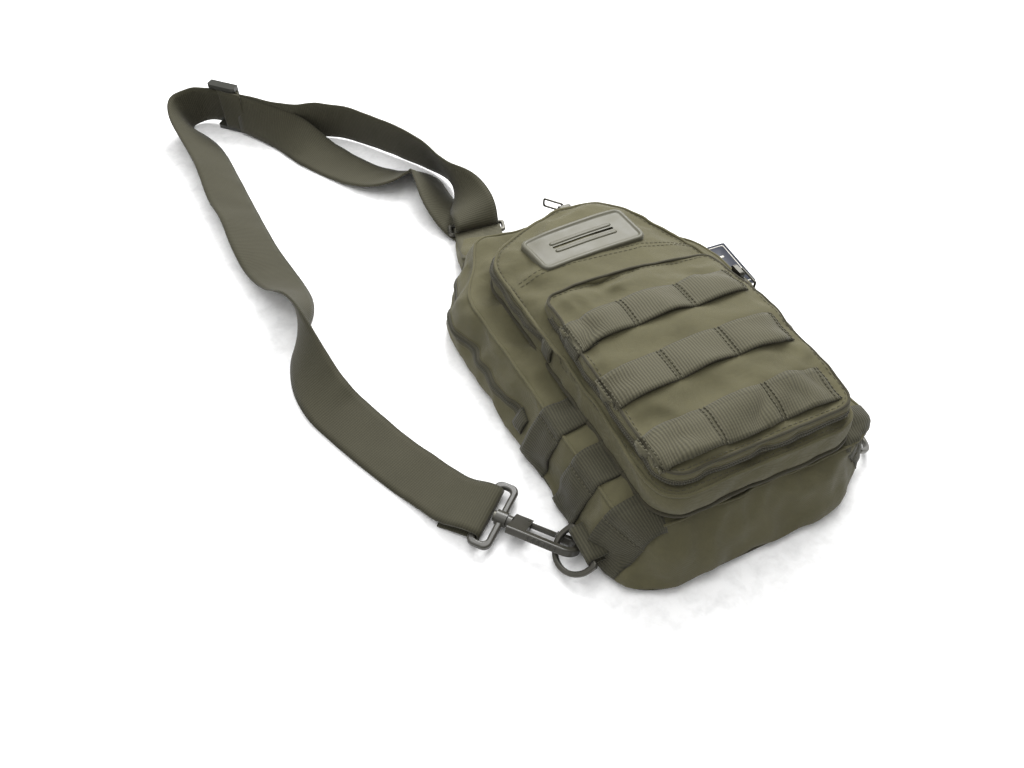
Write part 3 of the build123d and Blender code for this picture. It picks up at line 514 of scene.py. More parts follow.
def creased(made, folds, seed):
    """Presses soft valleys and ridges into a surface: each fold runs between two points with a depth and a width."""
    for v in made.data.vertices:
        x, y, z = v.co
        slant = 1 - abs(noise.noise(Vector((x * 24 + y * 30, y * 12 - x * 10, z * 22)) + seed)) * 2.2
        shift = 0.0024 * noise.noise(v.co * 17.0 + seed) + 0.0012 * noise.noise(v.co * 38.0 + seed)
        shift += 0.0027 * max(0.0, slant) ** 4 - 0.0012
        shift *= 0.45 + 0.55 * abs(v.normal.z)
        for first, last, depth, width in folds:
            a, b = Vector(first) * MM, Vector(last) * MM
            way = b - a
            share = (v.co - a).dot(way) / way.length_squared
            if -0.15 < share < 1.15:
                off = (v.co - a - way * share).length
                bend = noise.noise(v.co * 30.0) * 0.35
                fade = max(0.0, sin(pi * min(max((share + 0.15) / 1.3, 0.0), 1.0)))
                reach = width * MM * (1 + bend)
                shift -= 1.9 * depth * MM * fade * 2.718 ** (-(off / reach) ** 2)
        v.co = slumped(v.co + v.normal * shift)
    made.data.update()


def finished(made, levels=1):
    """Adds one level of smoothing for the render."""
    surface = made.modifiers.new("smooth", "SUBSURF")
    surface.levels = levels
    surface.render_levels = levels
    for polygon in made.data.polygons:
        polygon.use_smooth = True
    return made


def tree_of(made):
    """A search tree over a piece as it shows."""
    bpy.context.view_layer.update()
    return BVHTree.FromObject(made, bpy.context.evaluated_depsgraph_get())


BACK_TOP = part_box("back_lining")[1].z
MAIN_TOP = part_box("main_front_panel")[1].z
FRONT_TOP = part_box("front_panel")[1].z
POCKET_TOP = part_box("pocket_face")[1].z
MAIN_ZIP_Z = (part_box("main_zip_coil")[0].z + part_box("main_zip_coil")[1].z) / 2
FRONT_ZIP_Z = (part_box("front_zip_coil")[0].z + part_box("front_zip_coil")[1].z) / 2
POCKET_ZIP_Z = (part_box("pocket_zip_coil")[0].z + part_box("pocket_zip_coil")[1].z) / 2


FLOOR_GAP = 0.0018
SHOULDER = Vector((102, 100, 0)) * MM   # where the soft right shoulder draws in


def drawn_in(p, amount):
    """A point near the right shoulder drawn in towards the middle of the bag."""
    reach = hypot(p.x - SHOULDER.x, p.y - SHOULDER.y) / 0.040
    return p + Vector((-0.80, -0.60, 0)) * amount * 2.718 ** (-reach ** 2)


def slumped(p):
    """A point let down where the half-empty bag sinks at its right shoulder."""
    reach = hypot(p.x - SHOULDER.x, p.y - SHOULDER.y + 0.028) / 0.064
    sunk = 0.36 * max(p.z - 0.026, 0.0) * 2.718 ** (-reach ** 2)
    return Vector((p.x, p.y, max(p.z - sunk, FLOOR_GAP)))


def spread(p, right, up):
    """A point near the bag's lower right corner pulled out to the right."""
    corner = 2.718 ** (-(hypot(p.x - 0.100, p.y + 0.148) / 0.042) ** 2)
    return p + Vector((right, up, 0)) * corner


def tucked(p):
    """The base draws in under the bag at its bottom."""
    bottom = max(0.0, 1 - (p.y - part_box("back_panel")[0].y) / 0.075)
    return drawn_in(spread(p, 0.010, 0.010) + Vector((0, 0.007 * bottom ** 2, 0)), 0.004)


base_line = [tucked(p) for p in outline("back_panel", 300)]
edge_line = [drawn_in(spread(p, 0.010, 0.002), 0.014) for p in outline("main_front_panel", 300)]
front_line = [drawn_in(p, 0.022) for p in outline("front_panel", 260)]
pocket_line = [drawn_in(p, 0.015) for p in outline("pocket_face", 220)]


def main_outline(z):
    """The main compartment's outline at a height."""
    return level(between(base_line, edge_line, (z - BACK_TOP) / (MAIN_TOP - BACK_TOP)), z)


main_rows = [level(grown(base_line, out * MM), z * MM) for z, out in ((1.8, -7), (2.2, -4), (3.4, -1.6), (5.2, -0.4))]
main_rows += [main_outline(z * MM) for z in (8, 12, 16, 20, 24, 28, 32, 36, 40, 44, 46.5)]
main_body = stuffed("main_body", main_rows, [level(grown(base_line, -0.005), 0.002), main_outline(MAIN_TOP)], 0.0015, 1.5, 0.0080, 0.0042, 0.075)
front_rows = [level(front_line, z * MM) for z in (44, 48, 52, 56, 60, 64, 68, 69.5)]
front_body = stuffed("front_body", front_rows, [level(front_line, MAIN_TOP + 0.001), level(front_line, FRONT_TOP)], 0.003, 1.6, 0.0070, 0.0038, 0.08)
pocket_rows = [level(pocket_line, z * MM) for z in (67, 70, 74, 78, 82, 84)]
pocket_body = stuffed("pocket_body", pocket_rows, [level(pocket_line, FRONT_TOP + 0.001), level(pocket_line, POCKET_TOP)], 0.002, 1.4, 0.0048, 0.0035, 0.09)

creased(main_body, [
    ((-80, -150, 30), (-60, -165, 8), 1.6, 6), ((-30, -133, 44), (-20, -160, 14), 1.8, 7), ((20, -133, 46), (34, -161, 12), 2.2, 8),
    ((60, -133, 44), (62, -160, 12), 2.0, 7), ((96, -120, 44), (84, -158, 12), 2.6, 9), ((0, -140, 38), (60, -146, 30), -1.6, 8),
    ((-92, 40, 36), (-100, 90, 16), 1.4, 7), ((-88, -20, 40), (-97, 10, 12), 1.2, 7), ((-80, 110, 44), (-64, 138, 30), 1.6, 6),
    ((104, -60, 40), (106, 10, 16), 1.4, 8), ((100, 60, 44), (60, 130, 30), 1.4, 8),
    ((-66, -120, 47), (-72, 20, 47), 3.4, 6), ((-72, 20, 47), (-74, 96, 47), 3.0, 6), ((-86, 60, 40), (-70, 120, 47), 2.2, 7),
    ((-70, 100, 47), (-30, 136, 47), 3.2, 7), ((-60, -131, 45), (70, -132, 45), 2.4, 6), ((70, -130, 30), (98, -104, 20), 2.6, 8),
    ((-20, -158, 10), (40, -140, 30), 2.4, 7), ((40, -155, 12), (84, -128, 34), -2.4, 8), ((-84, -128, 34), (-76, -150, 8), 3.0, 7), ((-60, -138, 40), (96, -130, 26), 2.6, 8), ((-50, -160, 6), (60, -158, 16), 2.2, 6),
    ((10, -158, 8), (90, -140, 34), 2.4, 6),
], Vector((1.7, 4.1, 0.3)))
creased(front_body, [
    ((-60, 60, 70), (-20, 44, 71), 1.7, 7), ((-62, 30, 70), (-40, 62, 71), -1.0, 8), ((10, 58, 71), (70, 40, 70), 1.6, 8),
    ((60, 104, 70), (84, 40, 70), 1.5, 8), ((-66, -60, 60), (-66, 20, 62), 1.2, 6), ((20, 118, 66), (60, 98, 64), 1.2, 6),
    ((-50, -131, 58), (60, -131, 58), -1.2, 6), ((82, -110, 66), (84, 20, 58), 1.6, 8), ((-40, 110, 70), (-10, 122, 68), 1.0, 6),
    ((-70, 70, 66), (-40, 40, 71), 2.6, 7), ((-40, 52, 71), (40, 50, 71), 1.8, 7), ((-66, -80, 68), (-68, 30, 68), 2.2, 6),
    ((84, 60, 66), (50, 46, 71), 2.2, 8), ((-30, -131, 60), (20, -129, 64), 2.0, 6),
], Vector((6.2, 0.4, 2.9)))
creased(pocket_body, [
    ((-40, 10, 85), (60, 16, 85), 1.6, 7), ((-56, 22, 84), (-20, 34, 85), 1.6, 6), ((-50, -30, 85), (0, -34, 85), 1.2, 6),
    ((10, -82, 85), (68, -76, 85), 1.4, 6), ((-40, -80, 85), (0, -84, 85), 1.0, 6), ((60, 30, 84), (72, -20, 84), 1.2, 5),
    ((-46, -118, 84), (20, -119, 84), 1.2, 4), ((-60, 30, 82), (-44, -6, 85), 2.4, 6), ((-30, 33, 84), (60, 28, 84), 2.8, 7),
    ((-58, -46, 84), (40, -32, 85), 2.4, 8), ((0, -30, 85), (72, -40, 84), -1.6, 8), ((-56, -90, 84), (30, -78, 85), 2.0, 8),
    ((40, -84, 85), (74, -66, 84), 2.2, 7), ((-58, 14, 84), (66, 12, 85), 2.2, 8),
], Vector((3.3, 8.8, 5.5)))
for body_piece, nodes_replaced in ((main_body, ("main_gusset", "main_front_panel")), (front_body, ("front_gusset", "front_panel")),
                                   (pocket_body, ("pocket_gusset", "pocket_face", "pocket_divider"))):
    smoothed(body_piece, 2)
    finished(body_piece)
    settle(body_piece, "bag", nodes_replaced)
main_skin, front_skin, pocket_skin = tree_of(main_body), tree_of(front_body), tree_of(pocket_body)


def drop(tree, x, y, lift):
    """The point on a compartment straight below (x, y), raised by lift. Past the edge it keeps the edge's height."""
    hit, normal, _, _ = tree.ray_cast(Vector((x, y, 0.3)), -UP)
    if hit is None:
        edge, _, _, _ = tree.find_nearest(Vector((x, y, POCKET_TOP)))
        return Vector((x, y, edge.z + lift))
    return hit + (normal if normal.z > 0.7 else UP) * lift


def inward(tree, place, outwards, lift):
    """The point on a compartment straight in from outside, raised by lift."""
    place = slumped(place)
    hit, _, _, _ = tree.ray_cast(place + outwards * 0.05, -outwards)
    return (place if hit is None else hit) + outwards * lift


def outward_at(loop, k):
    """The level outward direction of an outline at one of its points."""
    way = (loop[(k + 1) % len(loop)] - loop[k - 1]).normalized()
    return Vector((way.y, -way.x, 0))


def band(name, tree, loop, span, heights, lifts, finish, stands_for=(), closed=False):
    """A strip laid along a compartment's side wall."""
    rows = []
    for z, lift in zip(heights, lifts):
        row = [inward(tree, Vector((loop[k].x, loop[k].y, z)), outward_at(loop, k), lift) for k in span]
        rows.append(row + row[:1] if closed else row)
    centre = sum((loop[k] for k in span), Vector()) / len(span)
    return piece(woven(rows), name, finish, "bag", stands_for, facing=(centre.x, centre.y, heights[0]))


def rolled(name, line, radius, finish, stands_for=(), closed=True, sides=8, body="bag"):
    """A round seam or piping along a line of points."""
    count = len(line)
    rows = [[] for _ in range(sides + 1)]
    for k in range(count if not closed else count + 1):
        here = line[k % count]
        if closed:
            way = (line[(k + 1) % count] - line[(k - 1) % count]).normalized()
        else:
            way = (line[min(k + 1, count - 1)] - line[max(k - 1, 0)]).normalized()
        out = Vector((way.y, -way.x, 0)).normalized()
        rise = way.cross(out)
        for side in range(sides + 1):
            turn = 2 * pi * side / sides
            rows[side].append(here + out * radius * cos(turn) + rise * radius * sin(turn))
    bm = woven(rows)
    bmesh.ops.remove_doubles(bm, verts=bm.verts, dist=1e-6)
    bmesh.ops.holes_fill(bm, edges=bm.edges, sides=sides)
    return piece(bm, name, finish, body, stands_for)


def zip_span(loop, name):
    """The outline points that a zip runs past, from its right end over the top to its left end."""
    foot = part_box(name)[0].y
    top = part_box(name)[1].y
    return [k for k in range(len(loop)) if foot <= loop[k].y <= top + 0.001]


# ---------- zips ----------
main_zip_line = main_outline(MAIN_ZIP_Z)
main_span = zip_span(main_zip_line, "main_zip_tape")
front_span = zip_span(front_line, "front_zip_tape")
pocket_foot_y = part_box("pocket_zip_tape")[1].y
half = len(pocket_line) // 2
pocket_span = [k for k in list(range(half, len(pocket_line))) + list(range(half)) if pocket_line[k].y <= pocket_foot_y]
for name, tree, loop, span, z, tape in (
        ("main_zip", main_skin, main_zip_line, main_span, MAIN_ZIP_Z, 3.6),
        ("front_zip", front_skin, front_line, front_span, FRONT_ZIP_Z, 3.6),
        ("pocket_zip", pocket_skin, pocket_line, pocket_span, POCKET_ZIP_Z, 2.6)):
    across = [z + part * tape * MM for part in (-1, -0.55, 0, 0.55, 1)]
    band(f"{name}_strip", tree, loop, span, across, [0.0006, 0.0008, 0.0006, 0.0008, 0.0006], zip_tape, (f"{name}_tape",))
    teeth = [z + part * MM for part in (-1.25, -1.0, -0.4, 0.4, 1.0, 1.25)]
    band(f"{name}_teeth", tree, loop, span, teeth, [0.0005, 0.0013, 0.0017, 0.0017, 0.0013, 0.0005], zip_coil, (f"{name}_coil",))
    for word, edge in (("low", -1), ("high", 1)):
        lip = [inward(tree, Vector((loop[k].x, loop[k].y, z + edge * (tape + 0.4) * MM)), outward_at(loop, k), -0.0002) for k in span]
        rolled(f"{name}_lip_{word}", lip, 0.0007, cloth, closed=False)

# ---------- seams and piping ----------
def on_skin(tree, loop, z, out):
    """An outline laid on a compartment's nearest surface, moved out a little."""
    line = []
    for p in level(loop, z):
        hit, normal, _, _ = tree.find_nearest(slumped(p))
        line.append(hit + normal * out)
    return [a.lerp((b + c) / 2, 0.5) for a, b, c in zip(line, line[-1:] + line[:-1], line[1:] + line[:1])]


rolled("main_edge_piping", on_skin(main_skin, edge_line, MAIN_TOP, 0.0002), 0.0011, cloth)
# Painted shade: this dark seam darkens the crease at the front compartment's foot.
rolled("front_foot_seam", on_skin(front_skin, front_line, MAIN_TOP + 0.0030, 0.0002), 0.0017, seam_shade_cloth)
rolled("front_edge_piping", on_skin(front_skin, front_line, FRONT_TOP, 0.0003), 0.0013, cloth)
# Painted shade: the pocket's foot seam and edge piping are dark for the shade at its foot and under its edge.
rolled("pocket_foot_seam", on_skin(pocket_skin, pocket_line, FRONT_TOP + 0.0012, 0.0), 0.0008, seam_shade_cloth)
rolled("pocket_edge_piping", on_skin(pocket_skin, pocket_line, POCKET_TOP, 0.0002), 0.0010, seam_shade_cloth)

# ---------- back pad ----------
def back_pad():
    """The padded back, quilted in channels, with its binding."""
    rows = [level(grown(base_line, out), z * MM) for z, out in (
        (0.4, -0.0090), (0.9, -0.0076), (1.6, -0.0066), (2.5, -0.0060), (3.6, -0.0060), (4.6, -0.0066))]
    pad = piece(capped(rows, steps=40), "back_pad", back_mesh, None)
    for v in pad.data.vertices:
        if v.co.z < 0.0012:
            x, y = v.co.x, v.co.y
            lines = [abs(abs(x) - 0.040), abs(y + 0.060), abs(y - 0.060)]
            v.co.z += 0.0022 * 2.718 ** (-(min(lines) / 0.0035) ** 2)
    settle(pad, "bag", ("back_panel", "back_foam", "back_lining"))
    tape = [(0.0, -0.0120), (0.0001, -0.0075), (0.0006, -0.0050), (0.0014, -0.0042), (0.0024, -0.0044), (0.0032, -0.0060)]
    tape_rows = [level(grown(base_line, out), z + 0.0001) for z, out in tape]
    edging = piece(woven([row + row[:1] for row in tape_rows]), "back_binding_tape", side_webbing, "bag", ("back_binding",), facing=(0, 0, 0.004))
    thicken(edging, 0.0006, -1.0)


back_pad()


# ---------- webbing rows on the pocket ----------
def stitches(name, lines, body="bag", length=0.0024, gap=0.0012, radius=0.00028):
    """Runs of sewn stitches along lines of points."""
    bm = bmesh.new()
    for line in lines:
        total = sum((b - a).length for a, b in zip(line, line[1:]))
        count = max(2, int(total / (length + gap)))
        spots = evenly(line, 2 * count)
        for a, b in zip(spots[::2], spots[1::2]):
            way = b - a
            if way.length < 1e-5:
                continue
            turn = way.to_track_quat("Z", "Y").to_matrix().to_4x4()
            bmesh.ops.create_cone(bm, cap_ends=True, segments=6, radius1=radius, radius2=radius, depth=length,
                                  matrix=Matrix.Translation((a + b) / 2) @ turn)
    return piece(bm, name, thread, body)


def looped(share, loops, rise):
    """How far a sewn-down webbing stands off at a share of its length."""
    return rise * abs(sin(pi * share * loops)) ** 0.75


ROWS = sorted(n for n in NODES if n.startswith("webbing_row_"))
LOOPS = 3
tacks = []
for row_name in ROWS:
    low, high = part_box(row_name)
    rows = []
    for j in range(9):
        y = low.y + (high.y - low.y) * j / 8
        row = []
        for i in range(91):
            share = i / 90
            x = low.x + (high.x - low.x) * share
            curl = 0.0005 * abs(j / 4 - 1) ** 3
            lift = 0.0011 + looped(share, LOOPS, 0.0032) - curl
            wave = noise.noise(Vector((x * 60, y * 20, 3.0))) * 0.0004
            row.append(drop(pocket_skin, x, y + 0.0006 * sin(share * 9 + low.y * 50), lift + wave))
        rows.append(row)
    strip = piece(woven(rows), row_name + "_loops", row_webbing, "bag", (row_name,), facing=UP)
    thicken(strip, WEBBING, -1.0)
    for tack in range(LOOPS + 1):
        near = min(max(tack * 30, 1), 89)
        for shift in (-1, 1):
            i = min(max(near + shift, 0), 90)
            tacks.append([rows[j][i] + UP * 0.0004 for j in range(9)])
stitches("row_tacks", tacks, length=0.0020, gap=0.0006, radius=0.00035)

side_low, side_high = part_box("pocket_side_webbing")
down = []
for j in range(7):
    y = side_low.y + (side_high.y - side_low.y) * j / 6
    line = []
    for i in range(13):
        angle = radians(80 + 100 * i / 12)
        way = Vector((cos(angle), 0, sin(angle)))
        centre = Vector((side_high.x + 0.012, y, FRONT_TOP + 0.003))
        line.append(inward(pocket_skin, centre, way, 0.0014))
    down.append(line)
thicken(piece(woven(down), "pocket_side_strip", side_webbing, "bag", ("pocket_side_webbing",), facing=(0, side_low.y, 0.06)), WEBBING, -1.0)

# ---------- webbing over the main compartment's sides ----------
side_tacks = []
for word, side in (("left", -1), ("right", 1)):
    low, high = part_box("side_webbing_" + word)
    foot_x = high.x if side < 0 else low.x
    strips = []
    first_y, last_y = low.y + NARROW / 2, high.y - NARROW / 2
    for number in range(3):
        middle = first_y + (last_y - first_y) * number / 2
        rows = []
        for j in range(9):
            y = middle - NARROW / 2 + NARROW * j / 8
            centre = Vector((foot_x - side * 0.004, y, 0.020))
            row = []
            for i in range(45):
                share = i / 44
                angle = radians(90 - side * (-2 + 116 * share))
                way = Vector((cos(angle), 0, sin(angle)))
                lift = 0.0009 + looped(share, 2, 0.0017)
                row.append(inward(main_skin, centre + way * 0.03, way, lift))
            rows.append(row)
        strip = piece(woven(rows), f"side_strip_{word}_{number + 1}", side_webbing, "bag",
                      ("side_webbing_" + word,) if number == 0 else (), facing=(0, middle, 0.02))
        thicken(strip, WEBBING, -1.0)
        side_tacks.append([rows[j][22] + (rows[j][22] - Vector((0, rows[j][22].y, 0.0))).normalized() * 0.0004 for j in range(9)])
stitches("side_tacks", side_tacks, length=0.0020, gap=0.0006, radius=0.00035)

# ---------- short webbing ends that close the zips ----------
for name, tree, loop in (("main_zip_tab", main_skin, main_zip_line), ("front_zip_tab", front_skin, front_line)):
    for word, side in (("left", -1), ("right", 1)):
        low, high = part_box(f"{name}_{word}")
        span = [k for k in range(len(loop)) if low.y - 0.002 <= loop[k].y <= high.y + 0.002 and loop[k].x * side > 0]
        heights = [low.z + (high.z - low.z) * j / 6 for j in range(7)]
        strip = band(f"{name}_{word}_fold", tree, loop, span, heights, [0.0018, 0.0027, 0.0031, 0.0032, 0.0031, 0.0027, 0.0018],
                     side_webbing, (f"{name}_{word}",))
        thicken(strip, WEBBING, -1.0)

# ---------- seam stitching on the cloth ----------
front_stitch_y = 0.0
seam_rows = []
for x0, x1, y in ((-0.062, 0.079, 0.062), (-0.062, 0.079, 0.0585)):
    seam_rows.append([drop(front_skin, x0 + (x1 - x0) * k / 40, y, 0.0002) for k in range(41)])
for out in (-0.0040,):
    loop = grown(pocket_line, out)
    seam_rows.append([drop(pocket_skin, q.x, q.y, 0.0002) for q in loop])
    loop = grown(front_line, out)
    seam_rows.append([drop(front_skin, q.x, q.y, 0.0002) for q in loop])
stitches("cloth_stitching", seam_rows, length=0.0026, gap=0.0014, radius=0.00022)


# ---------- rubber patch ----------
def plain(points):
    """A direction found from a box's two corners."""
    return (points[0] + points[1]) / 2


def rounded_box_line(length, width, corner, count):
    """A rounded rectangle round the origin as evenly spaced points."""
    line = []
    for cx, cy, start in ((1, -1, -90), (1, 1, 0), (-1, 1, 90), (-1, -1, 180)):
        for k in range(9):
            angle = radians(start + 90 * k / 8)
            line.append(Vector((cx * (length / 2 - corner) + corner * cos(angle), cy * (width / 2 - corner) + corner * sin(angle), 0)))
    return evenly(line, count, closed=True)


def nested(length, width, corner, profile, count=112):
    """Rows of rounded rectangles, each set in by an amount at a height."""
    rows = []
    for inset, height in profile:
        keep = max(corner - inset, 0.0006)
        line = rounded_box_line(length - 2 * inset, width - 2 * inset, min(keep, (width - 2 * inset) / 2), count)
        rows.append([p + UP * height for p in line])
    return rows


def placed(rows, tree, centre, angle, spread):
    """Rows laid on a compartment, following its broad shape only."""
    turn = Matrix.Rotation(radians(angle), 3, "Z")
    laid = []
    for row in rows:
        line = []
        for p in row:
            flat = turn @ Vector((p.x, p.y, 0)) + centre
            heights = []
            for dx, dy in ((0, 0), (spread, 0), (-spread, 0), (0, spread), (0, -spread)):
                hit = drop(tree, flat.x * 0.75 + centre.x * 0.25 + dx, flat.y * 0.75 + centre.y * 0.25 + dy, 0.0)
                heights.append(hit.z)
            line.append(Vector((flat.x, flat.y, sum(heights) / len(heights) + p.z)))
        laid.append(line + line[:1])
    return laid


PATCH_ANGLE = 5.0
patch_low, patch_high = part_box("rubber_patch")
patch_centre = Vector(((patch_low.x + patch_high.x) / 2 + 0.001, (patch_low.y + patch_high.y) / 2 - 0.004, 0))
PATCH_LENGTH, PATCH_HEIGHT = 0.086, 0.037
patch_profile = [(0.0, -0.0030), (0.0, 0.0012), (0.0003, 0.0019), (0.0010, 0.0024), (0.0022, 0.0025), (0.0028, 0.0022), (0.0034, 0.0013),
                 (0.0044, 0.0011), (0.0080, 0.0012), (0.0120, 0.0012), (0.0174, 0.0012)]
patch_rows = placed(nested(PATCH_LENGTH, PATCH_HEIGHT, 0.006, patch_profile), front_skin, patch_centre, PATCH_ANGLE, 0.012)
piece(woven(patch_rows), "patch_plate", rubber, "bag", ("rubber_patch",), facing=(patch_centre.x, patch_centre.y, 0.06))
bars = bmesh.new()
for shift, length in ((0.0042, 0.052), (-0.0042, 0.052)):
    lines = nested(length, 0.0032, 0.0015, [(0.0, 0.0010), (0.0, 0.0015), (0.0003, 0.0019), (0.0010, 0.0021), (0.00155, 0.0021)], 64)
    lines = [[p + Vector((0, shift, 0)) for p in row] for row in lines]
    part = woven(placed(lines, front_skin, patch_centre, PATCH_ANGLE, 0.012))
    spare = bpy.data.meshes.new("bar")
    part.to_mesh(spare)
    part.free()
    bars.from_mesh(spare)
    bpy.data.meshes.remove(spare)
piece(bars, "patch_bars", rubber, "bag", facing=UP)

# ---------- swing tag ----------
tag_low, tag_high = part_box("swing_tag")
tag_centre = (tag_low + tag_high) / 2
TAG_WIDTH, TAG_LENGTH, TAG_ANGLE = 0.038, 0.050, -2.0
tag_turn = Matrix.Rotation(radians(TAG_ANGLE), 3, "Z")


def tag_part(name, length, width, corner, profile, finish, shift=(0, 0), stands_for=()):
    """A flat printed part of the swing tag."""
    lines = nested(length, width, corner, profile, 80)
    rows = [[tag_turn @ (p + Vector((*shift, 0))) + Vector((tag_centre.x, tag_centre.y, tag_low.z)) for p in row] for row in lines]
    piece(woven([row + row[:1] for row in rows]), name, finish, "swing_tag", stands_for, facing=UP)


tag_part("tag_plate", TAG_WIDTH, TAG_LENGTH, 0.0012,
         [(0.0189, 0.0), (0.0002, 0.0), (0.0, 0.0002), (0.0, 0.0006), (0.0002, 0.0008), (0.0189, 0.0008)], card, stands_for=("swing_tag",))
tag_part("tag_border", TAG_WIDTH - 0.005, TAG_LENGTH - 0.005, 0.0010, [(0.0, 0.00085), (0.0, 0.0009), (0.0007, 0.0009), (0.0007, 0.00085)], card_line)
tag_part("tag_rule", 0.020, 0.0022, 0.0008, [(0.0, 0.00085), (0.0, 0.0009), (0.0010, 0.0009)], card_line, shift=(0, 0.010))

# ---------- neck ----------
ring_low, ring_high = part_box("neck_ring")
NECK_ANGLE = -15.0
neck_across = Vector((cos(radians(NECK_ANGLE)), sin(radians(NECK_ANGLE)), 0))
neck_along = Vector((-neck_across.y, neck_across.x, 0))
ring_centre = (ring_low + ring_high) / 2
RING_GAP = 0.010
NECK_HALF = 0.0195


def neck_point(forward, z, sideways=0.0):
    """A point forward of the ring's middle, along the neck."""
    return Vector((ring_centre.x, ring_centre.y, 0)) + neck_along * forward + neck_across * sideways + UP * z


fold_line = spline_points([neck_point(f * MM, z * MM) for f, z in (
    (-58, 27), (-46, 22), (-34, 16), (-22, 12.4), (-12, 10.9), (-5, 10.9), (-1.6, 10.6), (-1.4, 7), (-1.8, 3.4), (-6, 3.2), (-20, 3.0), (-38, 3.0), (-50, 4))])
neck_rows = [[p + neck_across * (NECK_HALF * (j / 4 - 1)) for p in fold_line] for j in range(9)]
thicken(piece(woven(neck_rows), "neck_strap_fold", row_webbing, "bag", ("neck_webbing",)), WEBBING, 0.0)


def sleeve(stations, name, stands_for):
    """A soft tapered sleeve: each station is forward, half width, lowest and highest."""
    rows = []
    for forward, wide, low_z, high_z in stations:
        ring_points = []
        for k in range(48):
            turn = 2 * pi * k / 48
            c, s = cos(turn), sin(turn)
            side = wide * MM * (abs(c) ** 0.55) * (1 if c > 0 else -1)
            rise = (low_z + high_z) / 2 + (high_z - low_z) / 2 * (abs(s) ** 0.8) * (1 if s > 0 else -1)
            ring_points.append(neck_point(forward * MM, rise * MM, side))
        rows.append(ring_points + ring_points[:1])
    made = piece(woven(rows), name, cloth, "bag", stands_for, facing=neck_point(-30 * MM, 10 * MM))
    return finished(thicken(made, 0.0009, -1.0))


sleeve([(-68, 14, 6, 26), (-60, 18, 5, 28), (-54, 20.4, 4, 29), (-46, 21.6, 2.4, 27), (-38, 21.8, 1.8, 21.5), (-30, 21.4, 1.5, 16.5), (-22, 20.9, 1.4, 13.9), (-17.5, 20.6, 1.5, 13.1)],
       "neck_sleeve", ("neck_panel",))

# ---------- ring tabs ----------
for word, side in (("left", -1), ("right", 1)):
    low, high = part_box("ring_tab_" + word)
    reach = (high.z - low.z) / 2 - WEBBING / 2
    bar_x = (low.x + reach + WEBBING / 2) if side < 0 else (high.x - reach - WEBBING / 2)
    bar_z = (low.z + high.z) / 2
    profile = [(-13, 4.2), (-8, 3.6), (-4, 3.2)] + [(reach / MM * sin(radians(a)), reach / MM * cos(radians(a))) for a in range(0, 181, 20)] + [(-4, -3.0), (-9, -3.0)]
    rows = [[Vector((bar_x + side * x * MM, low.y + NARROW * j / 6, bar_z + z * MM)) for x, z in profile] for j in range(7)]
    thicken(piece(woven(rows), f"ring_tab_{word}_fold", side_webbing, "bag", ("ring_tab_" + word,)), WEBBING, 0.0)


# ---------- strap ----------
def ribbon(name, stations, width, finish, body, stands_for, resolution=10, columns=9):
    """Flat webbing through stations of (x, y, z or None, lean): flat on the floor at lean 0, on its edge at 90."""
    half_width = width / 2
    points, ways = [], []
    for x, y, z, lean in stations:
        if z is None:
            z = 1.1 + half_width / MM * abs(sin(radians(lean)))
        points.append(Vector((x, y, z)) * MM)
    for k, (x, y, z, lean) in enumerate(stations):
        before, after = points[max(k - 1, 0)], points[min(k + 1, len(points) - 1)]
        travel = Vector((after.x - before.x, after.y - before.y, 0))
        right = Vector((travel.y, -travel.x, 0)).normalized()
        way = right * cos(radians(lean)) + UP * sin(radians(lean))
        if ways and way.dot(ways[-1]) < 0:
            way = -way
        ways.append(way)
    middle = spline_points(points, resolution=resolution)
    edge = spline_points([p + w * half_width for p, w in zip(points, ways)], resolution=resolution)
    rows = []
    for j in range(columns):
        off = 2 * j / (columns - 1) - 1
        row = []
        for m, e in zip(middle, edge):
            way = (e - m).normalized()
            ripple = noise.noise(m * 45.0) * 0.0013 * off + noise.noise(m * 70.0 + UP * off) * 0.0008
            place = m + way * half_width * off + UP * ripple
            place.z = max(place.z, FLOOR_GAP * 0.55)
            row.append(place)
        rows.append(row)
    made = piece(woven(rows), name, finish, body, stands_for)
    thicken(made, WEBBING, 0.0)
    return made, middle


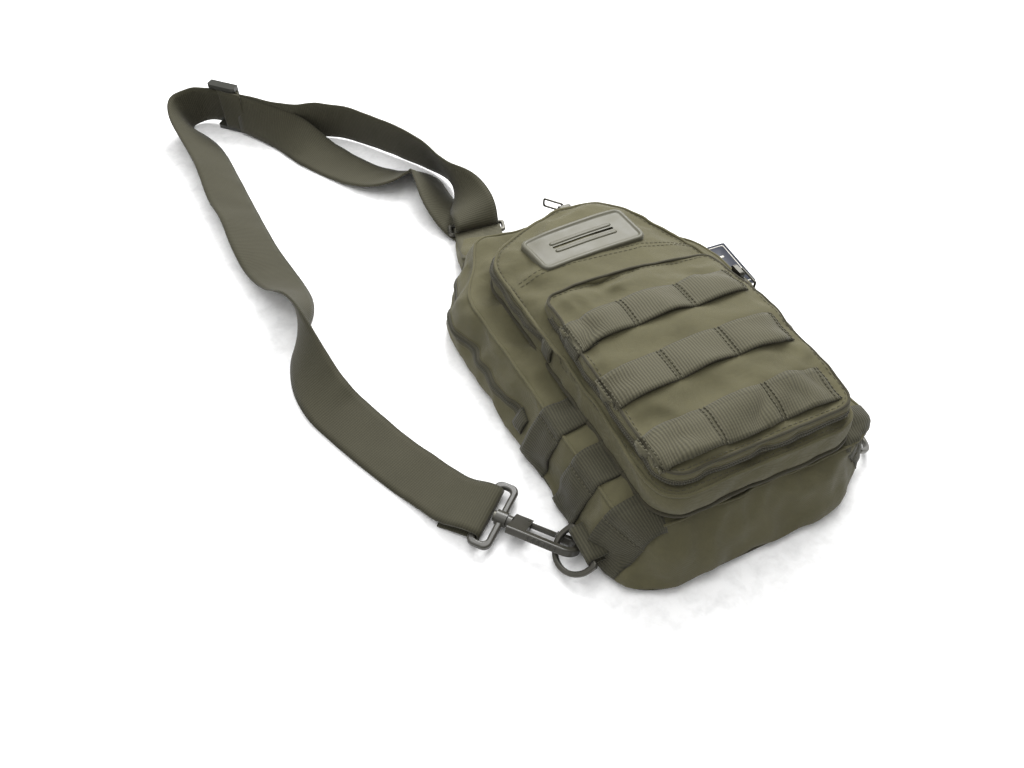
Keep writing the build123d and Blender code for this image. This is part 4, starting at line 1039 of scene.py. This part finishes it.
# Hook end, floor run with its half twist, the turn on edge, the far run, over and under the ring, and back to the slider.
STRAP_ROUTE = [
    (-158.0, -38.2, 1.2, 0), (-145.8, -52.3, 3.4, 0), (-138.8, -60.4, 3.4, 0), (-138.8, -60.4, 11.2, 0), (-145.8, -52.3, 11.0, 0),
    (-156.0, -40.5, 6.0, 0), (-162.0, -26.0, 2.6, 0), (-173, -5, None, 0), (-188, 27, None, 2), (-200, 56, None, 6), (-207, 72, None, 20),
    (-211, 98, None, 36), (-209, 128, 21.2, 66), (-202, 148, 21.4, 100), (-200, 166, 20.2, 132), (-204, 192, None, 154), (-210, 220, None, 166), (-214, 250, None, 158),
    (-215, 285, None, 148), (-218.5, 318, None, 158), (-219, 360, None, 146), (-222.5, 404, None, 150), (-231, 436, None, 132), (-232, 450, 19.0, 108),
    (-222, 456, 20.5, 84), (-207, 455, 21.5, 78), (-190, 440, 23, 82), (-157, 407, 22, 80), (-137, 392, None, 80), (-120, 389, None, 82), (-95, 374, None, 84),
    (-68, 336, None, 84), (-43, 294, 20, 76), (-37, 268, 21, 66), (-38, 244, 23.5, 84), (-37, 219, 26.0, 140), (-37.5, 200, 26, 172), (-39.5, 189.0, 17, 180),
    (-37.4, 196.5, 7.5, 180), (-37.8, 200, 2.2, 180), (-46, 212, 2.8, 176), (-54, 236, None, 152), (-53, 262, None, 140), (-52, 277, None, 140),
    (-61, 287, None, 144), (-77, 290, None, 158), (-96, 306, None, 174), (-113, 333, None, 180), (-129, 359, None, 190), (-144, 381, None, 226),
    (-160.5, 399, None, 256), (-183, 425, 22, 266),
]
strap, strap_line = ribbon("shoulder_strap", STRAP_ROUTE, STRAP_WIDTH, strap_webbing, "bag", (
    "strap_floor_run", "strap_turn_run", "strap_edge_run", "strap_top_run", "strap_ring_fold", "strap_return_flat",
    "strap_return_edge", "strap_hook_fold"))

glide_low, glide_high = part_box("tri_glide")
glide_centre = (glide_low + glide_high) / 2
glide_way = Vector((1, -1, 0)).normalized()
glide_out = Vector((1, 1, 0)).normalized()
end_line = [(16, -1.8), (4, -1.8), (-2.5, -1.8), (-4.1, -3.6), (-3.0, -5.6), (4, -5.9), (20, -5.9)]
end_points = spline_points([Vector((-188, 438, 23.2)) * MM + glide_way * a * MM + glide_out * b * MM for a, b in end_line])
end_rows = [[p + UP * (STRAP_WIDTH / 2) * (j / 4 - 1) for p in end_points] for j in range(9)]
thicken(piece(woven(end_rows), "strap_sewn_end", strap_webbing, "tri_glide", ("strap_end_fold",)), WEBBING, 0.0)

# ---------- finishes of the moulded and metal parts ----------
for finish, names in (
        (plastic, ("hook_body", "hook_gate", "swivel_loop")), (dark_plastic, ("tri_glide",)),
        (wire, ("neck_ring", "d_ring_left", "d_ring_right", "gate_pin", "gate_spring", "swivel_pin")),
        (zip_metal, [n for n in NODES if n.endswith("slider") or "_slider_" in n or "_pull" in n])):
    for name in names:
        NODES[name].data.materials.clear()
        NODES[name].data.materials.append(finish)
